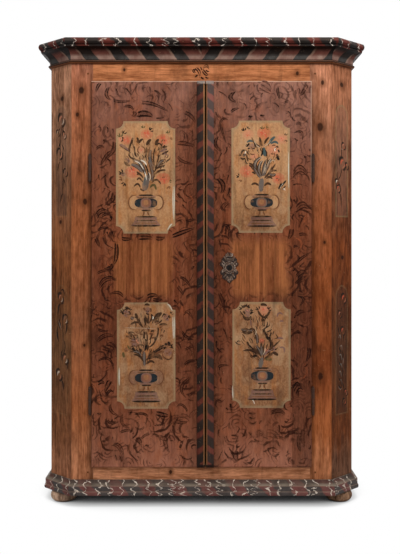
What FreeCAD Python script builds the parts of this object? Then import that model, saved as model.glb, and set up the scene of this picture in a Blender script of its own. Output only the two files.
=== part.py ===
import FreeCAD
import Part
import math
import os

# A painted softwood cupboard with canted front corners and two plank doors.
# Millimetres: x to the right, y to the back, z up from the floor, origin under the middle.

# Body in plan
front_flat_width = 1010.0
cant_leg = 95.0
body_depth = 480.0
carcass_height = 1683.0
board_thickness = 28.0
overrun = 5.0

# Turned bun feet
foot_height = 43.0
foot_sole_radius = 30.0
foot_belly_radius = 52.0
foot_neck_radius = 38.0
foot_belly_height = 22.0
foot_inset = 55.0
front_foot_setback = 72.0
rear_foot_setback = 60.0
foot_dowel_radius = 14.0
foot_dowel_length = 35.0
dowel_clearance = 0.1

# Base rails with their moulded edge, from the underside up
base_rail_width = 75.0
base_overhang = 26.0
base_torus_height = 15.0
base_torus_swell = 2.0
base_ledge = 2.0
base_band_height = 22.0
base_cove_height = 17.0
base_cove_bow_share = 0.13
base_lip_overhang = 4.0
base_lip_height = 2.0
base_tenon_length = 30.0
base_tenon_height = 28.0
base_tenon_width = 40.0

# Cornice, from its underside up
cornice_bead_height = 11.0
cornice_bead_overhang = 11.0
cornice_neck_height = 17.0
cornice_cove_height = 31.0
cornice_cove_reach = 31.5
cornice_cove_bow_share = 0.13
cornice_fillet_step = 2.0
cornice_fillet_height = 8.0
cornice_quirk_depth = 3.0
cornice_quirk_height = 1.5
cornice_slab_height = 23.5
cornice_slab_swell = 5.0
cornice_slab_step = 7.0
cornice_seat_height = 24.0

# Front frame of stiles and rails
stile_width = 84.0
top_rail_height = 143.0
bottom_rail_height = 55.0
tenon_length = 40.0
tenon_thickness = 9.0
tenon_shoulder = 12.0
peg_radius = 4.0
peg_clearance = 0.05
top_peg_shares = (0.25, 0.75)
bottom_peg_shares = (0.5,)

# Floor, top, shelves and back
housing_depth = 8.0
floor_rise = 8.0
floor_thickness = 22.0
top_board_drop = 18.0
top_board_thickness = 20.0
shelf_thickness = 20.0
shelf_setback = 64.0
shelf_clearance = 0.3
lower_shelf_height = 500.0
middle_shelf_height = 870.0
upper_shelf_height = 1240.0
cleat_width = 22.0
cleat_height = 30.0
back_thickness = 18.0
back_rebate = 14.0
back_board_names = ("left", "middle_left", "middle_right", "right")
nail_head_radius = 3.5
nail_head_depth = 2.0
nail_shank_radius = 1.4
nail_length = 40.0
nail_clearance = 0.05
nail_place_shares = (0.2, 0.8)

# Tongue and groove between boards
tongue_depth = 8.0
tongue_thickness = 6.0

# Lipped plank doors
meeting_offset = 15.0
meeting_gap = 3.0
door_lip_overlap = 6.0
door_lip_proud = 10.0
door_lip_chamfer = 4.0
door_inner_depth = 18.0
door_clearance = 2.5
left_narrow_width = 112.0
right_narrow_width = 77.0

# Dovetailed battens on the backs of the doors
batten_width = 54.0
batten_thickness = 20.0
batten_dovetail_depth = 6.0
batten_dovetail_flare = 3.0
batten_hinge_margin = 30.0
batten_meeting_margin = 62.0
lower_batten_rise = 176.0
upper_batten_drop = 179.0

# Half strips along the meeting edges
strip_width = 31.0
strip_edge_height = 4.0
strip_crown_height = 13.0
strip_bow_share = 0.12
strip_chamfer = 6.0
strip_stop = 16.0
strip_end_bevel = 12.0
strip_end_edge = 2.0

# Iron barrel hinges
upper_hinge_height = 1308.0
lower_hinge_height = 405.0
knuckle_length = 50.0
knuckle_radius = 5.5
knuckle_gap = 0.3
hinge_clearance = 0.5
hinge_pin_radius = 3.0
hinge_pin_clearance = 0.05
hinge_pin_reach = 38.0
finial_radius = 4.2
hinge_leaf_thickness = 2.5
hinge_leaf_inset = 3.0
frame_leaf_depth = 26.0
door_leaf_depth = 34.0

# Box lock on the right door
keyhole_backset = 91.0
keyhole_height = 922.0
keyhole_radius = 3.2
keyhole_slot_width = 2.8
keyhole_slot_length = 11.0
lock_edge_gap = 5.0
lock_width = 130.0
lock_height = 84.0
lock_depth = 24.0
lock_wall = 1.5
lock_bolt_length = 96.0
lock_bolt_height = 16.0
lock_bolt_thickness = 9.0
lock_bolt_standoff = 7.0
lock_bolt_rise = 18.0
lock_bolt_clearance = 0.3
lock_spring_length = 46.0
lock_spring_width = 6.0
lock_spring_thickness = 0.8
keeper_width = 18.0
keeper_edge_gap = 1.5
keeper_bar = 3.0
keeper_room = 2.0
keeper_foot_length = 12.0

# Slide bolts on the left door
slide_bolt_setback = 34.0
slide_bolt_length = 100.0
slide_bolt_width = 12.0
slide_bolt_thickness = 5.0
slide_bolt_start_gap = 6.0
slide_bolt_travel = 22.0
slide_bolt_clearance = 0.3
bolt_knob_radius = 5.0
bolt_knob_length = 16.0
bolt_plate_thickness = 1.5
bolt_plate_width = 34.0
bolt_plate_length = 88.0
bolt_staple_bar = 2.0
bolt_staple_height = 6.0
bolt_staple_margin = 9.0
bolt_mortise_spare = 3.0

# Pressed escutcheon: lobes as (across, up, radius) shares of its height
escutcheon_height = 118.0
escutcheon_thickness = 2.2
escutcheon_boss_rise = 1.6
escutcheon_boss_share = 0.15
escutcheon_disc_share = 0.2
escutcheon_lobe_shares = (
    (0.0, 0.28, 0.11),
    (0.0, 0.415, 0.085),
    (0.17, 0.235, 0.09),
    (0.23, 0.11, 0.075),
    (0.0, -0.27, 0.11),
    (0.0, -0.42, 0.08),
    (0.15, -0.3, 0.085),
    (0.22, -0.16, 0.08),
)
escutcheon_nail_shares = ((0.0, 0.37), (0.0, -0.37))
escutcheon_nail_radius = 2.6
escutcheon_nail_dome = 1.8
escutcheon_nail_shank = 1.1
escutcheon_nail_length = 14.0

# Levels and places that follow from the sizes above
base_height = base_torus_height + base_band_height + base_cove_height + base_lip_height
carcass_bottom = foot_height + base_height
carcass_top = carcass_bottom + carcass_height
cornice_bead_radius = cornice_bead_height / 2
cornice_neck_overhang = cornice_bead_overhang - cornice_bead_radius
cornice_fillet_overhang = cornice_neck_overhang + cornice_cove_reach + cornice_fillet_step
cornice_overhang = cornice_fillet_overhang + cornice_slab_step + cornice_fillet_step
cornice_height = (cornice_bead_height + cornice_neck_height + cornice_cove_height
                  + cornice_fillet_height + cornice_quirk_height + cornice_slab_height)
cornice_top = carcass_top + cornice_seat_height
cornice_bottom = cornice_top - cornice_height
front_half = front_flat_width / 2
half_width = front_half + cant_leg
back_y = (cornice_overhang + body_depth) / 2
front_y = back_y - body_depth
frame_back_y = front_y + board_thickness
back_inner_y = back_y - back_thickness
opening_half = front_half - stile_width
opening_bottom = carcass_bottom + bottom_rail_height
opening_top = carcass_top - top_rail_height
door_front_y = front_y - door_lip_proud
door_back_y = front_y + door_inner_depth
door_edge = opening_half + door_lip_overlap
left_meeting = meeting_offset - meeting_gap / 2
right_meeting = meeting_offset + meeting_gap / 2
hinge_x = door_edge + hinge_clearance + knuckle_radius
hinge_y = front_y - hinge_clearance - knuckle_radius
keyhole_x = right_meeting + keyhole_backset
lock_left = right_meeting + lock_edge_gap
lock_bolt_z = keyhole_height + lock_bolt_rise
lock_bolt_y = door_back_y + lock_bolt_standoff
slide_bolt_x = left_meeting - slide_bolt_setback
slide_bolt_y = door_back_y + bolt_plate_thickness + slide_bolt_clearance
floor_bottom = carcass_bottom + floor_rise
floor_top = floor_bottom + floor_thickness
top_board_top = carcass_top - top_board_drop
top_board_bottom = top_board_top - top_board_thickness
shelf_heights = (lower_shelf_height, middle_shelf_height, upper_shelf_height)
hinge_heights = (upper_hinge_height, lower_hinge_height)
lower_batten_height = opening_bottom + lower_batten_rise
upper_batten_height = opening_top - upper_batten_drop
peg_length = board_thickness - housing_depth


# Plain solids
def box(x_range, y_range, z_range):
    low = FreeCAD.Vector(min(x_range), min(y_range), min(z_range))
    high = FreeCAD.Vector(max(x_range), max(y_range), max(z_range))
    size = high - low
    return Part.makeBox(size.x, size.y, size.z, low)


def rod(start, axis, radius, length):
    return Part.makeCylinder(radius, length, FreeCAD.Vector(*start), FreeCAD.Vector(*axis))


def plan_prism(points, bottom, top):
    corners = [FreeCAD.Vector(x, y, bottom) for x, y in points]
    face = Part.Face(Part.makePolygon(corners + corners[:1]))
    return face.extrude(FreeCAD.Vector(0, 0, top - bottom))


def one_solid(shape):
    return shape.removeSplitter().Solids[0]


# A closed face from straight and bowed steps: one point is a line, two are an arc and its end
def drawn_face(place, start, steps):
    edges = []
    here = start
    for step in steps:
        there = step[-1]
        if len(step) > 1:
            edges.append(Part.Arc(place(here), place(step[0]), place(there)).toShape())
        else:
            edges.append(Part.LineSegment(place(here), place(there)).toShape())
        here = there
    return Part.Face(Part.Wire(edges))


# Middle of an arc that bows to the left of its way by a share of its chord
def bowed(start, end, share):
    across = end[0] - start[0]
    along = end[1] - start[1]
    return ((start[0] + end[0]) / 2 - along * share, (start[1] + end[1]) / 2 + across * share)


# Body outline from the rear left corner, round the front, to the rear right corner
outline_corners = (
    (-half_width, back_y),
    (-half_width, front_y + cant_leg),
    (-front_half, front_y),
    (front_half, front_y),
    (half_width, front_y + cant_leg),
    (half_width, back_y),
)
run_names = ("left_side", "left_corner", "front", "right_corner", "right_side")


def run_direction(run):
    start, end = outline_corners[run], outline_corners[run + 1]
    length = math.dist(start, end)
    return ((end[0] - start[0]) / length, (end[1] - start[1]) / length)


def run_normal(run):
    along = run_direction(run)
    return (along[1], -along[0])


# A corner of the outline, moved out along its mitre
def outline_point(corner, offset):
    before = run_normal(max(corner - 1, 0))
    after = run_normal(min(corner, len(run_names) - 1))
    spread = 1 + before[0] * after[0] + before[1] * after[1]
    x, y = outline_corners[corner]
    return (x + offset * (before[0] + after[0]) / spread,
            y + offset * (before[1] + after[1]) / spread)


def run_wall(run, inner, outer, bottom, top):
    points = [outline_point(run, -inner), outline_point(run, outer),
              outline_point(run + 1, outer), outline_point(run + 1, -inner)]
    return plan_prism(points, bottom, top)


# A moulding drawn as (out, up) steps, run along one side of the outline and mitred at its ends
def moulding_run(run, start, steps, inner, outer, bottom, top):
    along = run_direction(run)
    out = run_normal(run)
    corner = outline_corners[run]
    reach = inner + outer
    length = math.dist(corner, outline_corners[run + 1]) + 2 * reach

    def place(point):
        return FreeCAD.Vector(corner[0] + out[0] * point[0] - along[0] * reach,
                              corner[1] + out[1] * point[0] - along[1] * reach, point[1])

    bar = drawn_face(place, start, steps)
    bar = bar.extrude(FreeCAD.Vector(along[0] * length, along[1] * length, 0))
    trim = run_wall(run, inner + overrun, outer + overrun, bottom - overrun, top + overrun)
    if run in (0, len(run_names) - 1):
        trim = trim.common(box((-half_width - reach, half_width + reach), (front_y - reach, back_y),
                               (bottom - overrun, top + overrun)))
    return one_solid(bar.common(trim))


# Feet: turned buns with a dowel up into the base
def foot_places():
    side_x = half_width - foot_inset
    rows = (("front", front_y + front_foot_setback), ("rear", back_y - rear_foot_setback))
    for row, y in rows:
        yield row + "_left", (-side_x, y)
        yield row + "_right", (side_x, y)


def foot(centre):
    def place(point):
        return FreeCAD.Vector(centre[0] + point[0], centre[1], point[1])

    face = drawn_face(place, (0, 0), [
        [(foot_sole_radius, 0)],
        [(foot_belly_radius, foot_belly_height), (foot_neck_radius, foot_height)],
        [(foot_dowel_radius, foot_height)],
        [(foot_dowel_radius, foot_height + foot_dowel_length)],
        [(0, foot_height + foot_dowel_length)],
        [(0, 0)],
    ])
    axis = FreeCAD.Vector(0, 0, 1)
    return face.revolve(FreeCAD.Vector(centre[0], centre[1], 0), axis, 360)


def dowel_holes():
    return [rod((x, y, foot_height - overrun), (0, 0, 1), foot_dowel_radius + dowel_clearance,
                overrun + foot_dowel_length + dowel_clearance) for _, (x, y) in foot_places()]


# Base: flat rails with a moulded edge, mitred at the front, tenoned at the back
def base_rail(run):
    torus_edge = base_overhang - base_torus_swell
    torus_top = foot_height + base_torus_height
    band_edge = torus_edge - base_ledge
    band_top = torus_top + base_band_height
    cove_start = (band_edge - base_ledge, band_top)
    cove_end = (base_lip_overhang, band_top + base_cove_height)
    start = (-base_rail_width, foot_height)
    steps = [
        [(torus_edge, foot_height)],
        [(base_overhang, foot_height + base_torus_height / 2), (torus_edge, torus_top)],
        [(band_edge, torus_top)],
        [(band_edge, band_top)],
        [cove_start],
        [bowed(cove_start, cove_end, base_cove_bow_share), cove_end],
        [(base_lip_overhang, carcass_bottom)],
        [(-base_rail_width, carcass_bottom)],
        [start],
    ]
    rail = moulding_run(run, start, steps, base_rail_width, base_overhang, foot_height,
                        carcass_bottom)
    return one_solid(rail.cut(dowel_holes() + [base_rear_rail()]))


def base_rear_rail():
    inner_half = half_width - base_rail_width
    middle_y = back_y - base_rail_width / 2
    middle_z = foot_height + base_height / 2
    bar = box((-inner_half, inner_half), (back_y - base_rail_width, back_y),
              (foot_height, carcass_bottom))
    tenon_half = inner_half + base_tenon_length
    tenon = box((-tenon_half, tenon_half),
                (middle_y - base_tenon_width / 2, middle_y + base_tenon_width / 2),
                (middle_z - base_tenon_height / 2, middle_z + base_tenon_height / 2))
    return one_solid(bar.fuse(tenon).cut(dowel_holes()))


# Cornice: lift-off frame of mitred runs that sits over the top of the body
def cornice_run(run):
    bead_top = cornice_bottom + cornice_bead_height
    cove_start = (cornice_neck_overhang, bead_top + cornice_neck_height)
    cove_end = (cornice_neck_overhang + cornice_cove_reach, cove_start[1] + cornice_cove_height)
    fillet_top = cove_end[1] + cornice_fillet_height
    quirk_overhang = cornice_fillet_overhang - cornice_quirk_depth
    slab_bottom = fillet_top + cornice_quirk_height
    slab_edge = cornice_overhang - cornice_slab_swell
    start = (-board_thickness, carcass_top)
    steps = [
        [(0, carcass_top)],
        [(0, cornice_bottom)],
        [(cornice_neck_overhang, cornice_bottom)],
        [(cornice_bead_overhang, cornice_bottom + cornice_bead_radius),
         (cornice_neck_overhang, bead_top)],
        [cove_start],
        [bowed(cove_start, cove_end, cornice_cove_bow_share), cove_end],
        [(cornice_fillet_overhang, cove_end[1])],
        [(cornice_fillet_overhang, fillet_top)],
        [(quirk_overhang, fillet_top)],
        [(quirk_overhang, slab_bottom)],
        [(slab_edge, slab_bottom)],
        [(cornice_overhang, slab_bottom + cornice_slab_height / 2), (slab_edge, cornice_top)],
        [(-board_thickness, cornice_top)],
        [start],
    ]
    return moulding_run(run, start, steps, board_thickness, cornice_overhang, cornice_bottom,
                        cornice_top)


def cornice_rear_rail():
    inner_half = half_width - board_thickness
    return box((-inner_half, inner_half), (back_y - board_thickness, back_y),
               (carcass_top, cornice_top))


# Floor, top and shelves: plates that follow the inside of the body
def inner_plate(offset, front_limit, bottom, top):
    points = [outline_point(corner, -offset) for corner in range(1, len(run_names))]
    points = [(points[0][0], back_inner_y)] + points + [(points[-1][0], back_inner_y)]
    plate = plan_prism(points, bottom, top)
    keep = box((-half_width, half_width), (front_limit, back_inner_y), (bottom, top))
    return one_solid(plate.common(keep))


def housed_plate(bottom, top):
    return inner_plate(board_thickness - housing_depth, front_y, bottom, top)


def plain_floor():
    return housed_plate(floor_bottom, floor_top)


def plain_top():
    return housed_plate(top_board_bottom, top_board_top)


def plain_shelf(height):
    return inner_plate(board_thickness + shelf_clearance, front_y + shelf_setback,
                       height - shelf_thickness, height)


def shelf_cleats():
    wall_x = half_width - board_thickness
    front_limit = outline_point(4, -board_thickness)[1]
    cleats = []
    for height in shelf_heights:
        top = height - shelf_thickness
        for side in (-1, 1):
            cleats.append(box((side * wall_x, side * (wall_x - cleat_width)),
                              (front_limit, back_inner_y), (top - cleat_height, top)))
    return cleats


# Back: tongued boards in the rebates of the sides, nailed to every plate
back_half = half_width - back_rebate
back_board_width = 2 * back_half / len(back_board_names)


def back_board_x(index, share):
    return -back_half + back_board_width * (index + share)


def back_nail(x, z, extra):
    head = rod((x, back_y, z), (0, -1, 0), nail_head_radius + extra, nail_head_depth + extra)
    shank = rod((x, back_y, z), (0, -1, 0), nail_shank_radius + extra, nail_length + extra)
    return one_solid(head.fuse(shank))


def back_nails(extra=0.0):
    levels = [(floor_bottom + floor_top) / 2, (top_board_bottom + top_board_top) / 2]
    levels += [height - shelf_thickness / 2 for height in shelf_heights]
    return [back_nail(back_board_x(index, share), z, extra) for z in levels
            for index in range(len(back_board_names)) for share in nail_place_shares]


def nailed(plate):
    return one_solid(plate.cut(back_nails(nail_clearance)))


def back_tongue(index):
    middle_y = back_y - back_thickness / 2
    seam_x = back_board_x(index, 1)
    return box((seam_x, seam_x + tongue_depth),
               (middle_y - tongue_thickness / 2, middle_y + tongue_thickness / 2),
               (carcass_bottom, carcass_top))


def back_board(index):
    board = box((back_board_x(index, 0), back_board_x(index, 1)), (back_inner_y, back_y),
                (carcass_bottom, carcass_top))
    if index + 1 < len(back_board_names):
        board = board.fuse(back_tongue(index))
    if index > 0:
        board = board.cut(back_tongue(index - 1))
    return nailed(board)


# Sides and canted corners: upright boards, mitred along their edges, grooved for floor and top
def grooved(board):
    return one_solid(board.cut([plain_floor(), plain_top()]))


def upright(run):
    board = run_wall(run, board_thickness, 0, carcass_bottom, carcass_top)
    back = box((-back_half, back_half), (back_inner_y, back_y + overrun),
               (carcass_bottom - overrun, carcass_top + overrun))
    return grooved(board.cut(back))


# Front frame: stiles mitred to the canted boards, rails tenoned into them and pegged
def stile(side):
    corner = 3 if side > 0 else 2
    points = [(side * opening_half, front_y), outline_corners[corner],
              outline_point(corner, -board_thickness), (side * opening_half, frame_back_y)]
    post = plan_prism(points, carcass_bottom, carcass_top)
    leaves = [frame_leaf(side, height) for height in hinge_heights]
    cuts = [rail_tenon(*rail_levels(name)) for name in ("top", "bottom")]
    return grooved(post.cut(leaves + cuts + frame_pegs(peg_clearance)))


def rail_levels(name):
    if name == "top":
        return (opening_top, carcass_top)
    return (carcass_bottom, opening_bottom)


def rail_tenon(bottom, top):
    reach = opening_half + tenon_length
    middle_y = front_y + board_thickness / 2
    return box((-reach, reach), (middle_y - tenon_thickness / 2, middle_y + tenon_thickness / 2),
               (bottom + tenon_shoulder, top - tenon_shoulder))


def rail(name):
    bottom, top = rail_levels(name)
    bar = box((-opening_half, opening_half), (front_y, frame_back_y), (bottom, top))
    bar = bar.fuse(rail_tenon(bottom, top))
    way = 1 if name == "top" else -1
    return grooved(bar.cut(frame_pegs(peg_clearance) + [bolt_mortise(way)]))


def frame_pegs(extra=0.0):
    peg_x = opening_half + tenon_length / 2
    pegs = []
    for name, shares in (("top", top_peg_shares), ("bottom", bottom_peg_shares)):
        bottom, top = rail_levels(name)
        for share in shares:
            for side in (-1, 1):
                start = (side * peg_x, front_y, bottom + (top - bottom) * share)
                pegs.append(rod(start, (0, 1, 0), peg_radius + extra, peg_length))
    return pegs


# Barrel hinges: frame leaf with the lower knuckle, door leaf with the upper one, and a pin
def hinge_bore(side, height, radius):
    return rod((side * hinge_x, hinge_y, height - hinge_pin_reach), (0, 0, 1), radius,
               2 * hinge_pin_reach)


def knuckle(side, height, way):
    base = height + way * knuckle_gap / 2
    barrel = rod((side * hinge_x, hinge_y, base), (0, 0, way), knuckle_radius, knuckle_length)
    tip = base + way * (knuckle_length + finial_radius / 2)
    finial = Part.makeSphere(finial_radius, FreeCAD.Vector(side * hinge_x, hinge_y, tip))
    return barrel.fuse(finial)


def leaf_range(height, way):
    base = height + way * (knuckle_gap / 2 + hinge_leaf_inset)
    return (base, base + way * (knuckle_length - 2 * hinge_leaf_inset))


def frame_leaf(side, height):
    half = hinge_leaf_thickness / 2
    return box((side * hinge_x - half, side * hinge_x + half),
               (hinge_y, front_y + frame_leaf_depth), leaf_range(height, -1))


def door_leaf(side, height):
    half = hinge_leaf_thickness / 2
    return box((side * hinge_x, side * (door_edge - door_leaf_depth)),
               (hinge_y - half, hinge_y + half), leaf_range(height, 1))


def hinge_halves(side, way):
    leaf = frame_leaf if way < 0 else door_leaf
    halves = []
    for height in hinge_heights:
        half = knuckle(side, height, way).fuse(leaf(side, height))
        bore = hinge_bore(side, height, hinge_pin_radius + hinge_pin_clearance)
        halves.append(one_solid(half.cut(bore)))
    return halves


def hinge_pins():
    return [hinge_bore(side, height, hinge_pin_radius)
            for side in (-1, 1) for height in hinge_heights]


# Doors: a wide and a narrow board, lipped over the frame, held by battens let in behind
def door_blank(side):
    meeting = right_meeting if side > 0 else left_meeting
    lip = box((side * door_edge, meeting), (door_front_y, front_y),
              (opening_bottom - door_lip_overlap, opening_top + door_lip_overlap))
    inner = box((side * (opening_half - door_clearance), meeting), (front_y, door_back_y),
                (opening_bottom + door_clearance, opening_top - door_clearance))
    blank = one_solid(lip.fuse(inner))
    touch = door_clearance / 2
    edges = []
    for edge in blank.Edges:
        bound = edge.BoundBox
        on_front = bound.YMax < door_front_y + touch
        on_meeting = abs(bound.XMin - meeting) < touch and abs(bound.XMax - meeting) < touch
        if on_front and not on_meeting:
            edges.append(edge)
    return blank.makeChamfer(door_lip_chamfer, edges)


def batten(side, height):
    meeting = right_meeting if side > 0 else left_meeting
    start = side * (opening_half - door_clearance - batten_hinge_margin)
    end = meeting + side * batten_meeting_margin
    half = batten_width / 2
    wide = half + batten_dovetail_flare
    root_y = door_back_y - batten_dovetail_depth
    rear_y = door_back_y + batten_thickness
    points = [(root_y, -wide), (root_y, wide), (door_back_y, half), (rear_y, half),
              (rear_y, -half), (door_back_y, -half)]
    corners = [FreeCAD.Vector(start, y, height + z) for y, z in points]
    face = Part.Face(Part.makePolygon(corners + corners[:1]))
    return face.extrude(FreeCAD.Vector(end - start, 0, 0))


def door_seam(side):
    return door_edge - right_narrow_width if side > 0 else left_meeting - left_narrow_width


def door_boards(side):
    blank = door_blank(side)
    seam_x = door_seam(side)
    middle_y = (door_front_y + door_back_y) / 2
    tongue = box((seam_x, seam_x + tongue_depth),
                 (middle_y - tongue_thickness / 2, middle_y + tongue_thickness / 2),
                 (opening_bottom + door_clearance, opening_top - door_clearance))
    reach = 2 * half_width
    tall = (carcass_bottom, carcass_top)
    deep = (door_front_y - overrun, door_back_y + overrun)
    left = blank.common(box((-reach, seam_x), deep, tall)).fuse(tongue)
    right = blank.common(box((seam_x, reach), deep, tall)).cut(tongue)
    cuts = [batten(side, height) for height in (lower_batten_height, upper_batten_height)]
    cuts += [door_leaf(side, height) for height in hinge_heights]
    if side > 0:
        cuts += [keyhole(door_front_y - overrun, door_back_y + overrun)]
        cuts += escutcheon_nails(nail_clearance)
    return one_solid(left.cut(cuts)), one_solid(right.cut(cuts))


# Half strips: rounded outer flank, stopped chamfer along the meeting line, bevelled ends
def meeting_strip(side):
    meeting = right_meeting if side > 0 else left_meeting
    bottom = opening_bottom - door_lip_overlap
    top = opening_top + door_lip_overlap

    def place(point):
        return FreeCAD.Vector(meeting + side * point[0], door_front_y - point[1], bottom)

    edge = (strip_width, strip_edge_height)
    crown = (strip_chamfer, strip_crown_height)
    face = drawn_face(place, (0, 0), [
        [(strip_width, 0)],
        [edge],
        [bowed(crown, edge, strip_bow_share), crown],
        [(0, strip_crown_height)],
        [(0, 0)],
    ])
    bar = face.extrude(FreeCAD.Vector(0, 0, top - bottom))
    arris = [(meeting, door_front_y - strip_crown_height),
             (meeting + side * strip_chamfer, door_front_y - strip_crown_height),
             (meeting, door_front_y - strip_crown_height + strip_chamfer)]
    cuts = [plan_prism(arris, bottom + strip_stop, top - strip_stop)]
    cuts += [strip_end(meeting, end, way) for end, way in ((bottom, -1), (top, 1))]
    return one_solid(bar.cut(cuts))


def strip_end(meeting, end, way):
    edge_y = door_front_y - strip_end_edge
    crown_y = door_front_y - strip_crown_height
    inside = end - way * strip_end_bevel
    outside = end + way * overrun
    points = [(edge_y, end), (crown_y, inside), (crown_y - overrun, inside),
              (crown_y - overrun, outside), (edge_y, outside)]
    corners = [FreeCAD.Vector(meeting - strip_width - overrun, y, z) for y, z in points]
    face = Part.Face(Part.makePolygon(corners + corners[:1]))
    return face.extrude(FreeCAD.Vector(2 * (strip_width + overrun), 0, 0))


# Lock: keyhole, case, bolt, spring, and the keeper on the other door
def keyhole(front, back):
    eye = rod((keyhole_x, front, keyhole_height), (0, 1, 0), keyhole_radius, back - front)
    slot = box((keyhole_x - keyhole_slot_width / 2, keyhole_x + keyhole_slot_width / 2),
               (front, back), (keyhole_height - keyhole_slot_length, keyhole_height))
    return eye.fuse(slot)


def lock_bolt(extra=0.0):
    half = lock_bolt_height / 2 + extra
    return box((lock_left, lock_left + lock_bolt_length),
               (lock_bolt_y - extra, lock_bolt_y + lock_bolt_thickness + extra),
               (lock_bolt_z - half, lock_bolt_z + half))


def lock_case():
    low = keyhole_height - lock_height / 2
    high = keyhole_height + lock_height / 2
    right = lock_left + lock_width
    rear = door_back_y + lock_depth
    shell = box((lock_left, right), (door_back_y, rear), (low, high))
    room = box((lock_left + lock_wall, right - lock_wall), (door_back_y - overrun, rear - lock_wall),
               (low + lock_wall, high - lock_wall))
    return one_solid(shell.cut([room, lock_bolt(lock_bolt_clearance)]))


def lock_spring():
    ceiling = keyhole_height + lock_height / 2 - lock_wall
    belly = lock_bolt_z + lock_bolt_height / 2 + lock_bolt_clearance
    left = lock_left + lock_bolt_length - lock_spring_length
    right = left + lock_spring_length
    middle = (left + right) / 2
    front = lock_bolt_y + (lock_bolt_thickness - lock_spring_width) / 2

    def place(point):
        return FreeCAD.Vector(point[0], front, point[1])

    thick = lock_spring_thickness
    face = drawn_face(place, (left, ceiling), [
        [(middle, belly), (right, ceiling)],
        [(right - thick, ceiling)],
        [(middle, belly + thick), (left + thick, ceiling)],
        [(left, ceiling)],
    ])
    return face.extrude(FreeCAD.Vector(0, lock_spring_width, 0))


def lock_keeper():
    right = left_meeting - keeper_edge_gap
    span = (right - keeper_width, right)
    inner = lock_bolt_height / 2 + keeper_room
    outer = inner + keeper_bar
    rear = lock_bolt_y + lock_bolt_thickness + keeper_room
    arch = box(span, (door_back_y, rear + keeper_bar), (lock_bolt_z - outer, lock_bolt_z + outer))
    room = box((span[0] - overrun, span[1] + overrun), (door_back_y - overrun, rear),
               (lock_bolt_z - inner, lock_bolt_z + inner))
    feet = [box(span, (door_back_y, door_back_y + keeper_bar),
                (lock_bolt_z + way * inner, lock_bolt_z + way * (outer + keeper_foot_length)))
            for way in (-1, 1)]
    return one_solid(arch.cut(room).fuse(feet))


# Slide bolts: flat bars with a knob, in staples on a plate, that shoot into the rails
def bolt_end(way):
    edge = opening_top if way > 0 else opening_bottom
    return edge - way * slide_bolt_start_gap


def slide_bolt_bar(way, extra, shift):
    half = slide_bolt_width / 2 + extra
    end = bolt_end(way) + way * shift
    return box((slide_bolt_x - half, slide_bolt_x + half),
               (slide_bolt_y - extra, slide_bolt_y + slide_bolt_thickness + extra),
               (end, end - way * slide_bolt_length))


def slide_bolt(way):
    middle = bolt_end(way) - way * slide_bolt_length / 2
    knob = rod((slide_bolt_x, slide_bolt_y, middle), (0, 1, 0), bolt_knob_radius,
               slide_bolt_thickness + bolt_knob_length)
    return one_solid(slide_bolt_bar(way, 0, 0).fuse(knob))


def bolt_mortise(way):
    return slide_bolt_bar(way, slide_bolt_clearance, slide_bolt_travel + bolt_mortise_spare)


def bolt_plate(way):
    middle = bolt_end(way) - way * slide_bolt_length / 2
    half = bolt_plate_width / 2
    low = middle - bolt_plate_length / 2
    high = middle + bolt_plate_length / 2
    across = (slide_bolt_x - half, slide_bolt_x + half)
    plate = box(across, (door_back_y, door_back_y + bolt_plate_thickness), (low, high))
    staple_half = slide_bolt_width / 2 + slide_bolt_clearance + bolt_staple_bar
    rear = slide_bolt_y + slide_bolt_thickness + slide_bolt_clearance + bolt_staple_bar
    staples = [box((slide_bolt_x - staple_half, slide_bolt_x + staple_half), (door_back_y, rear),
                   (start, start + bolt_staple_height))
               for start in (low + bolt_staple_margin,
                             high - bolt_staple_margin - bolt_staple_height)]
    room = slide_bolt_bar(way, slide_bolt_clearance, overrun)
    return one_solid(plate.fuse(staples).cut(room))


# Escutcheon: lobed plate with a raised boss round the keyhole, and its two nails
def escutcheon():
    forward = (0, -1, 0)
    disc = rod((keyhole_x, door_front_y, keyhole_height), forward,
               escutcheon_height * escutcheon_disc_share, escutcheon_thickness)
    boss = rod((keyhole_x, door_front_y, keyhole_height), forward,
               escutcheon_height * escutcheon_boss_share,
               escutcheon_thickness + escutcheon_boss_rise)
    lobes = []
    for across, up, radius in escutcheon_lobe_shares:
        for side in ((-1, 1) if across else (1,)):
            start = (keyhole_x + side * across * escutcheon_height, door_front_y,
                     keyhole_height + up * escutcheon_height)
            lobes.append(rod(start, forward, radius * escutcheon_height, escutcheon_thickness))
    plate = disc.fuse([boss] + lobes)
    holes = [keyhole(door_front_y - lock_depth, door_front_y + overrun)]
    return one_solid(plate.cut(holes + escutcheon_nails(nail_clearance)))


def escutcheon_nails(extra=0.0):
    nails = []
    for across, up in escutcheon_nail_shares:
        x = keyhole_x + across * escutcheon_height
        z = keyhole_height + up * escutcheon_height
        face = door_front_y - escutcheon_thickness
        shank = rod((x, face, z), (0, 1, 0), escutcheon_nail_shank + extra, escutcheon_nail_length)
        head = rod((x, face, z), (0, -1, 0), escutcheon_nail_radius + extra, escutcheon_nail_dome)
        nails.append(one_solid(head.fuse(shank)))
    return nails


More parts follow.
